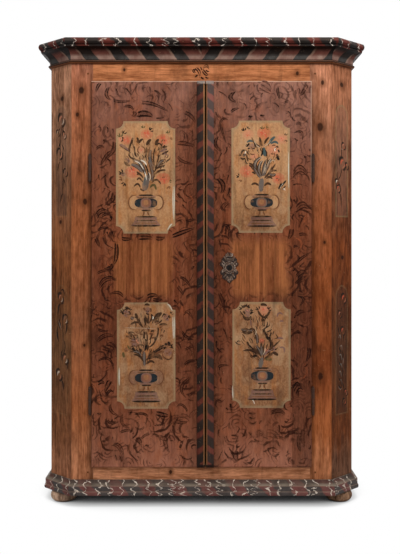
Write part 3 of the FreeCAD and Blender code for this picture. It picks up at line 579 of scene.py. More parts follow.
door_ground, given = new_group("door_ground", ("Place",), ("Color", "Rough", "Height", "Rubbed"))
place = given["Place"]
here = axes(place)
level = (here["Z"] - door_low) / (door_high - door_low)
streak = vary(place, (60, 60, 1.6), 5, 0.62, 0.4)
cloud = vary(place, (13, 13, 9), 5, 0.62, 0.5)
aside = (cloud - 0.5) * 0.09 + calc("ABSOLUTE", here["X"])
height_in = (streak - 0.5) * 0.05 + here["Z"]
rubbed = within(aside, band_near, band_near + 30 * MM, band_far - 30 * MM, band_far + 10 * MM)
rubbed = rubbed * within(height_in, band_low - 10 * MM, band_low + 40 * MM, band_high - 40 * MM,
                         band_high + 10 * MM)
worn_wood = tint(between(streak, 0.3, 0.7), tone(102, 50, 20), tone(188, 113, 58))
red_patch = patches(place, (21, 21, 12), 0.5, 0.72, 4, 0.6)
grain_light = tint(between(streak, 0.3, 0.75), tone(40, 20, 13), tone(206, 146, 112))
right_top = between(here["X"], meeting_x - 1 * MM, meeting_x + 1 * MM) * between(level, 0.5, 0.75)
edge_darkening = near(here["X"], meeting_x, 34 * MM, 85 * MM) * (right_top * -0.44 + 0.52)
outer_board = between(here["X"], outer_seam - 0.5 * MM, outer_seam + 0.5 * MM)
dulled = outer_board * (1 - between(level, 0.1, 0.9))
# A painted glare: the right door's upper part turned lighter and mauve.
painted_glare = between(here["X"], 50 * MM, 300 * MM) * between(level, 0.68, 0.95)
glaze = patches(place, (12, 12, 8), 0.5, 0.66, 3, 0.6, 0.8) * (1 - rubbed)
speckle = patches(place, (210, 210, 40), 0.3, 0.7, 4, 0.7)
# The ground is lighter at its foot and darkest about a third of the way up; towards the top it grows lighter
# and greyer with painted glare.
colour = ramp((cloud - 0.5) * 0.16 + level, (0.0, tone(176, 116, 94)), (0.12, tone(138, 79, 56)),
              (0.34, tone(96, 43, 24)), (0.62, tone(118, 59, 34)), (0.82, tone(116, 66, 49)),
              (1.0, tone(152, 106, 92)))
colour = layered(colour, (red_patch * 0.55, tone(158, 82, 46)), (rubbed * 0.75, worn_wood),
                 (0.16, grain_light), (edge_darkening, tone(40, 20, 13)), (dulled * 0.55, tone(46, 23, 16)),
                 (painted_glare * 0.4, tone(166, 124, 110)), (glaze * 0.34, tone(52, 24, 16)),
                 (0.2, tint(speckle, tone(38, 18, 11), tone(192, 116, 80))))
give(door_ground, Color=colour, Rough=cloud * 0.25 + 0.4, Height=streak, Rubbed=rubbed)

curl_marks, given = new_group("curl_marks", ("Place", "Size"), ("Mask",))
here = axes(given["Place"])
flat_place = add("CombineXYZ", {"X": here["X"], "Y": here["Z"]})["Vector"]
shake = add("TexNoise", {"Vector": flat_place, "Scale": 22.0, "Detail": 2.0})["Color"]
shake = add("VectorMath", {0: shake, 1: (0.03, 0.03, 0), 2: flat_place}, operation="MULTIPLY_ADD")["Vector"]
cell_scale = calc("DIVIDE", 1.0, given["Size"])
cells = add("TexVoronoi", {"Vector": shake, "Scale": cell_scale}, voronoi_dimensions="2D")
from_middle = axes(add("VectorMath", {0: shake, 1: cells["Position"]}, operation="SUBTRACT")["Vector"])
across, up = from_middle["X"], from_middle["Y"]
reach = calc("SQRT", across * across + up * up) / given["Size"]
chance = add("SeparateColor", {"Color": cells["Color"]})
bearing = calc("FRACT", calc("ARCTAN2", up, across) / (2 * math.pi) + chance["Red"])
swell = within(bearing, 0.0, 0.2, 0.3, 0.72)
coil = calc("FRACT", reach * 4.0 + (chance["Green"] - bearing))
mark = swell * 0.25 - calc("ABSOLUTE", coil - 0.5)
dry = patches(flat_place, 60, 0.26, 0.42) * patches(flat_place, 11, 0.36, 0.54, 2)
give(curl_marks, Mask=between(mark, 0.0, 0.12) * dry)


def painted_ground(place):
    """The door's ground with small brush curls, none in the rubbed band, and fainter at the top
    where painted glare washes them out.
    """
    ground = use(door_ground, Place=place)
    clear = (between(axes(place)["Z"], 1.2, 1.5) * -0.3 + 1.0) * (1 - ground["Rubbed"])
    fine, bold = (use(curl_marks, Place=place, Size=size)["Mask"] * clear for size in (54 * MM, 98 * MM))
    colour = layered(ground["Color"], (fine * 0.62, tone(56, 26, 17)), (bold * 0.85, tone(42, 20, 13)))
    return {**ground, "Color": colour}


def door_paint(name, seed):
    """The painted front of a door board over bare wood; its top edge is pale, partly rubbed paint and
    partly painted highlight, and part of the right door's outer edge has a painted highlight.
    """
    material, shader, place = new_finish(name)
    here, ground = axes(place), painted_ground(place)
    wood = plain_wood(place, "Z", seed, raw_pale, raw_deep)
    ragged = (vary(place, 60, 4) - 0.5) * (2 * MM)
    over, beyond = ragged + here["Z"], ragged + here["X"]
    # Pale edges: rubbed paint and painted highlight along the top, painted highlight on the right door's
    # outer edge.
    top_wear_and_highlight = between(over, door_high - 4.2 * MM, door_high - 2.6 * MM)
    side_highlight = between(beyond, door_edge - 4.4 * MM, door_edge - 3 * MM) * between(over, 1.18, 1.42)
    edge_wear_and_highlight = calc("MAXIMUM", top_wear_and_highlight, side_highlight * 0.8)
    painted = 1 - between(here["Y"], door_y + 8 * MM, door_y + 10 * MM)
    colour = tint(painted, wood["Color"], tint(edge_wear_and_highlight * 0.8, ground["Color"], tone(206, 172, 150)))
    dress_aged_and_shaded(shader, place, colour, ground["Rough"], ground["Height"], 0.5 * MM, 0.5)
    return material


for seed, side in enumerate(("left", "right")):
    door_finish = door_paint(side + "_door_paint", 51 + seed)
    paint_nodes(door_finish, side + "_door_wide_board", side + "_door_narrow_board")

# The meeting strips: a half-round bead nailed to each door's meeting edge. Black and dull red blocks
# run down it on the slant, worn to bare wood along the inner arris and grey at the top end. Painted
# glare greys the blocks, most on the right strip and towards the top, and painted shade darkens the
# strips beside the gap between them.
strip_pitch = 62 * MM


def strip_paint(name, inner_x, way, glare):
    """Slanted blocks greyed in part by painted glare, with painted shade along the meeting edge at inner_x
    and the arris by it rubbed bare.
    """
    material, shader, place = new_finish(name)
    here = axes(place)
    from_inner = (here["X"] - inner_x) * way
    ragged, cloud = vary(place, 50) - 0.5, vary(place, (60, 60, 30), 4)
    block = calc("FRACT", (from_inner * 0.8 + (ragged * 0.012 + here["Z"])) / strip_pitch)
    red = within(block, 0.5, 0.64, 0.88, 1.0) * between(cloud, 0.2, 0.5)
    # fading here is painted glare: how far the blocks are greyed, more towards the top.
    fading = (between(here["Z"], 1.1, 1.5) * 0.72 + 0.28) * glare
    black_paint = tint(fading, tint(cloud, tone(17, 13, 12), tone(58, 46, 40)), tone(122, 104, 100))
    red_paint = tint(fading, tint(cloud, tone(62, 26, 20), tone(120, 60, 47)), tone(182, 120, 108))
    bare = 1 - between(ragged * (2 * MM) + from_inner, 5.2 * MM, 6.4 * MM)
    worn_wood = plain_wood(place, "Z", 57, tone(196, 142, 96), tone(136, 90, 56))["Color"]
    # Painted shade: the dark of the gap between the strips, carried onto each strip's inner edge.
    gap_shade = 1 - between(from_inner, 1.4 * MM, 2.2 * MM)
    top_end = between(ragged * (12 * MM) + here["Z"], door_high - 16 * MM, door_high - 9 * MM)
    low_end = 1 - between(here["Z"], door_low + 13 * MM, door_low + 17 * MM)
    colour = layered(black_paint, (red, red_paint), (bare * 0.9, worn_wood), (gap_shade, tone(38, 22, 12)),
                     (top_end * 0.8, tone(150, 140, 132)), (low_end * 0.9, tone(32, 28, 26)))
    dress_aged_and_shaded(shader, place, colour, cloud * 0.25 + 0.26, cloud, 0.5 * MM, 0.4)
    return material


paint_nodes(strip_paint("left_strip_paint", strip_left[1].x, -1, 0.05), "left_meeting_strip")
paint_nodes(strip_paint("right_strip_paint", strip_right[0].x, 1, 0.4), "right_meeting_strip")


# The ironwork: forged hinge leaves, pins, slide bolts, plates, lock and nails, oil-black with brown rust
# in the pits and bare metal on the high spots.
def old_iron(name, dark, bright, metal, glints=0.0, keyhole_shadow=None):
    """Forged iron, pitted and rusty: glints is how far its specks brighten into painted glints, and
    the keyhole place, where given, is painted black as the shade inside the keyhole.
    """
    material, shader, place = new_finish(name)
    cloud, pits = vary(place, 90, 5, 0.65), patches(place, 420, 0.55, 0.7)
    rust, speck = patches(place, 60, 0.55, 0.7, 4), patches(place, 190, 0.56, 0.66, 2)
    colour = layered(tint(cloud, dark, bright), (rust * 0.6, tone(92, 52, 30)),
                     (speck * glints, tone(206, 190, 176)))
    # Painted shade: black about the keyhole, where the hole is dark inside.
    if keyhole_shadow:
        away = add("VectorMath", {0: place, 1: keyhole_shadow}, operation="DISTANCE")["Value"]
        colour = tint(between(away, 8 * MM, 12 * MM), tone(5, 4, 3), colour)
    dress(shader, colour, rust * 0.25 + 0.42, cloud - pits, 0.4 * MM, 0.2)
    place.tree.links.new(((1 - rust) * metal).socket, shader.inputs["Metallic"])
    return material


hinge_iron = old_iron("hinge_iron", tone(34, 20, 13), tone(76, 48, 33), 0.0)
paint_nodes(hinge_iron, "hinge_pins", *(side + "_hinge_" + half + "_leaves" for side in ("left", "right")
                                        for half in ("frame", "door")))
lock_iron = old_iron("lock_iron", tone(58, 52, 48), tone(124, 114, 104), 0.85)
paint_nodes(lock_iron, "lock_case", "lock_bolt", "lock_spring", "lock_keeper", "upper_slide_bolt",
            "lower_slide_bolt", "bolt_plates", "back_board_nails", "escutcheon_nails")
plate_low, plate_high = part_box("escutcheon")
plate_y = plate_low.y
key_x, _, key_z = (plate_low + plate_high) / 2
plate_metal = old_iron("escutcheon_metal", tone(16, 11, 9), tone(58, 42, 34), 0.0,
                       keyhole_shadow=(key_x, plate_y, key_z))
paint_nodes(plate_metal, "escutcheon")


# The painted fields: an ochre panel with hollow corners, twice on each door, edged in grey green.
# They are flat coats of thick casein paint, a hair proud of the door.
def fix_piece(name, points, faces, material, body):
    """A closed mesh, fixed to the body that carries it."""
    mesh = bpy.data.meshes.new(name)
    mesh.from_pydata(points, [], faces)
    shape = bmesh.new()
    shape.from_mesh(mesh)
    bmesh.ops.recalc_face_normals(shape, faces=shape.faces)
    shape.to_mesh(mesh)
    shape.free()
    mesh.materials.append(material)
    piece = bpy.data.objects.new(name, mesh)
    studio.collection.objects.link(piece)
    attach(piece, body)
    return mesh


class Brushwork:
    """Paint on one flat face. Places are millimetres across and up that face; every stroke is a closed low
    ridge with its edges just under the surface, and keeps its own colour and how far it covers."""

    sunk = -0.06

    def __init__(self, corner, across=across_front, out=out_front):
        self.corner, self.across, self.out = Vector(corner), Vector(across), Vector(out)
        self.points, self.faces, self.tints, self.covers = [], [], [], []

    def put(self, place, height, colour, cover):
        """One point of paint; height is in millimetres over the face."""
        x, z = place
        self.points.append(self.corner + (self.across * x + Vector((0, 0, z)) + self.out * height) * MM)
        self.tints.append(colour)
        self.covers.append(cover)
        return len(self.points) - 1

    def ridge(self, line, widths, colour, cover=1.0, lift=0.0, crown=0.2):
        """A stroke along a line, as wide at each point as widths says, pointed at both ends."""
        sunk = lift + self.sunk
        last = self.put(line[0], sunk, colour, 0)
        ring = None
        for before, at, after, width in zip(line, line[1:], line[2:], widths[1:]):
            run = (Vector(after) - Vector(before)).normalized()
            side = Vector((-run.y, run.x)) * width / 2
            new = (self.put(Vector(at) + side, sunk, colour, cover * 0.3),
                   self.put(at, lift + crown, colour, cover),
                   self.put(Vector(at) - side, sunk, colour, cover * 0.3))
            for i in range(3):
                j = (i + 1) % 3
                self.faces.append((ring[i], new[i], new[j], ring[j]) if ring else (last, new[i], new[j]))
            ring = new
        end = self.put(line[-1], sunk, colour, 0)
        self.faces.extend((ring[(i + 1) % 3], ring[i], end) for i in range(3))

    def coat(self, outline, colour, lift=0.0, thick=0.12, cover=1.0):
        """A flat filled shape."""
        low = [self.put(p, lift + self.sunk, colour, cover) for p in outline]
        high = [self.put(p, lift + thick, colour, cover) for p in outline]
        self.faces += [tuple(high), tuple(reversed(low))]
        self.join(low, high)

    def edging(self, outer, inner, colour, lift=0.0, thick=0.12, cover=1.0):
        """A flat band between two outlines that have the same number of points."""
        levels = ((outer, self.sunk), (outer, thick), (inner, thick), (inner, self.sunk))
        loops = [[self.put(p, lift + height, colour, cover) for p in outline] for outline, height in levels]
        for loop, following in zip(loops, loops[1:] + loops[:1]):
            self.join(loop, following)

    def join(self, loop, following):
        """A wall between two loops."""
        for i in range(len(loop)):
            j = (i + 1) % len(loop)
            self.faces.append((loop[i], loop[j], following[j], following[i]))

    def lay(self, name, body, slot, material):
        """Makes the piece of paint on its body, with each point's colour and cover."""
        mesh = fix_piece(name, self.points, self.faces, material, body)
        colours = mesh.attributes.new("tint", "FLOAT_COLOR", "POINT")
        colours.data.foreach_set("color", [share for colour in self.tints for share in colour])
        mesh.attributes.new("cover", "FLOAT", "POINT").data.foreach_set("value", self.covers)


def notched(field, inset, hollow=29.0, steps=5):
    """A field's outline, so far inside its edge, with its corners hollowed round the field's corners."""
    left, right, low, high = field
    reach = hollow + inset
    start = math.asin(inset / reach)
    turns = [start + (math.pi / 2 - 2 * start) * i / steps for i in range(steps + 1)]
    corners = ((left, low, 1, 1), (right, low, -1, 1), (right, high, -1, -1), (left, high, 1, -1))
    outline = []
    for number, (x, z, way_x, way_z) in enumerate(corners):
        arc = [(x + way_x * reach * math.sin(a), z + way_z * reach * math.cos(a)) for a in turns]
        outline += arc if number % 2 == 0 else arc[::-1]
    return outline


ochre_paint, given = new_group("ochre_paint", ("Place",), ("Color", "Rough", "Height"))
place = given["Place"]
here = axes(place)
fields_low, fields_rise = 370 * MM, 1130 * MM
streak = vary(place, (70, 70, 3.5), 4, 0.62)
cloud = vary(place, (24, 24, 15), 5, 0.62)
orange = patches(place, (34, 34, 9), 0.48, 0.68, 4, 0.6)
grey_film = between(cloud, 0.52, 0.74)
worn_streak = 1 - between(streak, 0.34, 0.5)
dim_foot = between(here["X"], 0.0, 20 * MM) * within(here["Z"], 0.9, 1.0, 1.06, 1.24)
smudge = patches(place, (30, 30, 22), 0.52, 0.72, 4, 0.65)
flush = patches(place, (17, 17, 12), 0.5, 0.66)
chalky = 1 - patches(place, (21, 21, 16), 0.36, 0.48, 4)
mottle = patches(place, (150, 150, 110), 0.3, 0.7, 3, 0.7)
# The ochre is lighter towards the top and darker towards the bottom: painted light, as from lamps above.
colour = ramp((here["Z"] - fields_low) / fields_rise, (0.0, tone(138, 91, 63)), (0.36, tone(164, 113, 77)),
              (0.62, tone(178, 126, 84)), (1.0, tone(196, 145, 102)))
colour = layered(colour, (orange * 0.62, tone(186, 112, 56)), (grey_film * 0.44, tone(190, 158, 124)),
                 (worn_streak * 0.4, tone(112, 70, 44)), (dim_foot * 0.62, tone(106, 60, 40)),
                 (smudge * 0.32, tone(104, 72, 52)), (flush * 0.3, tone(140, 78, 48)),
                 (chalky * 0.3, tone(206, 170, 132)),
                 (0.15, tint(mottle, tone(92, 54, 32), tone(246, 204, 150))))
give(ochre_paint, Color=colour, Rough=cloud * 0.2 + 0.42, Height=streak)

brushed, given = new_group("brushed_paint", ("Place", "Color"), ("Color", "Height"))
cover = add("Attribute", tree=brushed, attribute_name="cover")["Fac"]
own_colour = add("Attribute", tree=brushed, attribute_name="tint")["Color"]
bristle = vary(given["Place"], 240)
kept = patches(given["Place"], 38, 0.32, 0.5, 4, 0.6) * 0.35 + 0.65
share = between((bristle - 0.5) * 0.4 + cover, 0.08, 0.55) * kept
give(brushed, Color=tint(share, given["Color"], own_colour), Height=bristle)


def brushed_over(name, ground_of):
    """Brush strokes that show the ground again where they are thin or worn."""
    material, shader, place = new_finish(name)
    ground = ground_of(place)
    paint = use(brushed, Place=place, Color=ground["Color"])
    dress_aged_and_shaded(shader, place, paint["Color"], ground["Rough"], paint["Height"], 0.3 * MM, 0.3)
    return material


def ochre_ground(place):
    """The field's own paint."""
    return use(ochre_paint, Place=place)


on_door = brushed_over("curl_paint", painted_ground)
on_field = brushed_over("flower_paint", ochre_ground)
ochre, grey_green = tone(184, 134, 92), tone(160, 136, 104)
fields = {"left": ((-331, -102, 1054, 1489), (-327, -101, 376, 787)),
          "right": ((116, 342, 1057, 1491), (120, 345, 379, 789))}
border_width, border_overlap = 11.0, 1.5
door_face = (0, door_y, 0)
ochre_coat, shader, place = new_finish("ochre_coat")
ground = ochre_ground(place)
dress_aged_and_shaded(shader, place, ground["Color"], ground["Rough"], ground["Height"], 0.3 * MM, 0.3)
for side, pair in fields.items():
    coats, edges = Brushwork(door_face), Brushwork(door_face)
    for field in pair:
        coats.coat(notched(field, border_width - border_overlap), ochre)
        edges.edging(notched(field, 0), notched(field, border_width * 0.55), grey_green, 0, 0.18, 0.4)
        edges.edging(notched(field, border_width * 0.45), notched(field, border_width), grey_green, 0,
                     0.16, 0.25)
    coats.lay(side + "_door_fields", side + "_door", "door_paint", ochre_coat)
    edges.lay(side + "_field_edging", side + "_door", "door_paint", on_field)

# The curls: dark brown comma strokes flicked with a stiff brush over the ground, bunched along the
# margins and under the fields. The band between the fields stays bare.
hand = random.Random(1790)
curl_dark, curl_soft, curl_red = tone(26, 13, 9), tone(50, 24, 15), tone(160, 82, 48)


def bowed_line(start, through, end, steps=9):
    """Points on a smooth bow that passes a middle point."""
    pull = [2 * b - (a + c) / 2 for a, b, c in zip(start, through, end)]
    shares = [i / steps for i in range(steps + 1)]
    return [tuple((1 - t) ** 2 * a + 2 * t * (1 - t) * p + t * t * c for a, p, c in zip(start, pull, end))
            for t in shares]


def comma_widths(width, count):
    """Fat soon after the start, then a long thin tail."""
    return [width * math.sin(math.pi * (i / (count - 1)) ** 0.6) ** 0.8 for i in range(count)]


def leaf_widths(width, count):
    """Fattest in the middle."""
    return [width * math.sin(math.pi * i / (count - 1)) ** 0.9 for i in range(count)]


def full_widths(width, count):
    """Soon full, with short round ends."""
    return [width * math.sin(math.pi * i / (count - 1)) ** 0.45 for i in range(count)]


def even_widths(width, count):
    """The same all along, with short ends."""
    return [width * min(1, 5 * i / (count - 1), 5 - 5 * i / (count - 1)) for i in range(count)]


def flick(layer, stroke, colour, cover=1.0, widths=comma_widths, lift=0.0):
    """One stroke through three places, with its width and the number of brush hairs that part."""
    x1, z1, x2, z2, x3, z3, width, hairs = stroke
    run = Vector((x3 - x1, z3 - z1)).normalized()
    for hair in range(hairs):
        aside = (hair - (hairs - 1) / 2) * width * 0.62
        step = Vector((-run.y, run.x)) * aside
        drag = run * hand.uniform(-0.25, 0.25) * width * (hairs - 1)
        line = bowed_line(Vector((x1, z1)) + step + drag, Vector((x2, z2)) + step * 1.2,
                          Vector((x3, z3)) + step * 0.4 + drag)
        layer.ridge(line, widths(width / hairs ** 0.45, len(line)), colour, cover, lift)


def dab(layer, places, width, colour, cover, lift=0.0, widths=leaf_widths):
    """One stroke of a whole brush through three places."""
    flick(layer, (*places, width, 1), colour, cover, widths, lift)


# Each stroke has three places, its width and its number of brush hairs.
left_curls = (
    (-390, 1636, -402, 1622, -408, 1600, 7, 2), (-357, 1628, -368, 1590, -345, 1570, 8, 2),
    (-345, 1572, -310, 1564, -268, 1570, 6, 2), (-332, 1617, -326, 1603, -321, 1589, 6, 1),
    (-296, 1619, -282, 1604, -271, 1586, 7, 1), (-246, 1628, -262, 1608, -271, 1586, 4, 1),
    (-202, 1625, -199, 1610, -199, 1594, 4, 1), (-185, 1608, -170, 1602, -155, 1589, 6, 1),
    (-235, 1558, -191, 1556, -119, 1522, 8, 2), (-304, 1547, -275, 1545, -262, 1528, 6, 2),
    (-262, 1528, -258, 1518, -268, 1508, 9, 2), (-252, 1512, -215, 1518, -185, 1504, 14, 2),
    (-178, 1502, -160, 1500, -140, 1506, 8, 1), (-160, 1617, -140, 1590, -149, 1561, 4, 1),
    (-130, 1560, -118, 1545, -112, 1525, 4, 1), (-69, 1525, -40, 1508, -22, 1480, 9, 2),
    (-97, 1404, -60, 1402, -24, 1390, 10, 2), (-94, 1356, -70, 1332, -24, 1324, 7, 2),
    (-70, 1445, -66, 1425, -75, 1410, 4, 1), (-64, 1100, -40, 1106, -24, 1110, 5, 2),
    (-75, 1168, -66, 1156, -58, 1146, 6, 1), (-119, 1041, -70, 1060, -22, 1077, 9, 2),
    (-69, 1024, -60, 1000, -36, 975, 4, 1), (-48, 1000, -32, 985, -36, 958, 4, 1),
    (-30, 930, -34, 920, -45, 915, 8, 1), (-86, 886, -60, 872, -41, 842, 6, 2),
    (-396, 1470, -390, 1458, -396, 1446, 6, 1), (-368, 1468, -362, 1455, -368, 1442, 6, 1),
    (-346, 1462, -342, 1450, -346, 1438, 5, 1), (-338, 1415, -342, 1375, -379, 1340, 10, 2),
    (-382, 1418, -376, 1410, -382, 1400, 9, 1), (-409, 1379, -392, 1392, -374, 1385, 6, 2),
    (-346, 1373, -372, 1350, -393, 1312, 8, 2), (-368, 1345, -352, 1330, -356, 1312, 7, 1),
    (-396, 1285, -398, 1270, -390, 1257, 5, 1), (-368, 1282, -380, 1272, -391, 1262, 5, 1),
    (-340, 1213, -348, 1182, -379, 1168, 11, 2), (-379, 1168, -395, 1160, -409, 1155, 5, 1),
    (-409, 1113, -385, 1142, -340, 1124, 7, 3), (-390, 1118, -362, 1130, -342, 1112, 6, 2),
    (-357, 1122, -348, 1110, -360, 1100, 10, 1), (-407, 1063, -368, 1076, -336, 1050, 5, 2),
    (-368, 1063, -362, 1050, -357, 1036, 6, 1), (-349, 1063, -343, 1050, -338, 1036, 6, 1),
    (-409, 1036, -402, 1020, -396, 1002, 8, 2), (-330, 1025, -330, 965, -342, 934, 9, 2),
    (-342, 936, -356, 920, -379, 917, 9, 2), (-407, 897, -372, 912, -335, 908, 6, 2),
    (-401, 842, -368, 878, -326, 870, 7, 3), (-372, 880, -350, 884, -332, 868, 6, 2),
    (-313, 1036, -290, 1032, -268, 1036, 8, 2), (-245, 1041, -215, 1044, -190, 1036, 10, 3),
    (-180, 1038, -160, 1034, -140, 1040, 9, 2), (-300, 806, -325, 826, -360, 816, 7, 2),
    (-210, 808, -190, 816, -165, 812, 9, 2), (-190, 800, -170, 796, -150, 800, 7, 2),
    (-92, 850, -84, 838, -66, 812, 7, 2), (-108, 797, -100, 790, -91, 780, 9, 1),
    (-69, 736, -53, 750, -28, 714, 7, 2), (-58, 755, -44, 760, -30, 758, 4, 1),
    (-78, 680, -55, 652, -24, 658, 6, 2), (-55, 640, -42, 645, -30, 640, 7, 1),
    (-64, 603, -48, 612, -30, 614, 5, 2), (-69, 542, -50, 560, -24, 564, 5, 2),
    (-64, 520, -48, 522, -32, 520, 4, 1), (-41, 500, -78, 455, -53, 415, 7, 2),
    (-53, 415, -42, 408, -28, 409, 4, 1), (-58, 468, -62, 455, -70, 445, 5, 1),
    (-410, 744, -402, 738, -396, 742, 8, 1), (-404, 686, -380, 676, -357, 680, 5, 2),
    (-407, 636, -370, 660, -338, 652, 6, 3), (-379, 611, -350, 605, -340, 581, 10, 3),
    (-357, 603, -362, 590, -360, 575, 8, 1), (-407, 559, -358, 568, -340, 514, 6, 2),
    (-410, 476, -375, 500, -368, 531, 6, 1), (-400, 470, -388, 480, -374, 472, 8, 2),
    (-351, 487, -365, 465, -376, 437, 10, 2), (-368, 426, -355, 445, -338, 440, 6, 2),
    (-410, 415, -402, 425, -394, 424, 6, 1), (-354, 398, -348, 365, -315, 348, 7, 2),
    (-404, 362, -396, 355, -386, 360, 10, 1), (-368, 332, -345, 320, -318, 328, 6, 2),
    (-340, 332, -322, 345, -308, 336, 5, 1), (-304, 362, -306, 318, -268, 298, 7, 2),
    (-268, 366, -276, 358, -277, 350, 8, 1), (-268, 352, -215, 352, -219, 310, 6, 2),
    (-219, 310, -238, 296, -262, 310, 5, 2), (-235, 360, -215, 352, -205, 345, 7, 1),
    (-180, 360, -150, 352, -125, 348, 11, 2), (-158, 350, -150, 300, -196, 282, 6, 2),
    (-196, 282, -225, 268, -244, 243, 6, 2), (-250, 262, -240, 250, -236, 240, 12, 2),
    (-50, 360, -78, 392, -100, 376, 5, 2), (-136, 307, -105, 338, -41, 343, 10, 3),
    (-105, 334, -80, 322, -50, 326, 9, 2), (-119, 282, -140, 245, -120, 200, 11, 2),
    (-318, 282, -290, 292, -262, 288, 6, 2), (-385, 254, -378, 250, -372, 254, 10, 1),
    (-410, 210, -392, 200, -379, 188, 6, 1), (-351, 238, -316, 225, -304, 166, 7, 3),
    (-335, 200, -330, 186, -328, 172, 7, 1), (-318, 196, -312, 182, -308, 168, 8, 1),
    (-185, 270, -145, 262, -130, 216, 6, 2), (-75, 188, -50, 180, -30, 194, 5, 1),
    (-402, 300, -392, 280, -372, 272, 5, 2), (-300, 240, -285, 228, -290, 205, 5, 1))
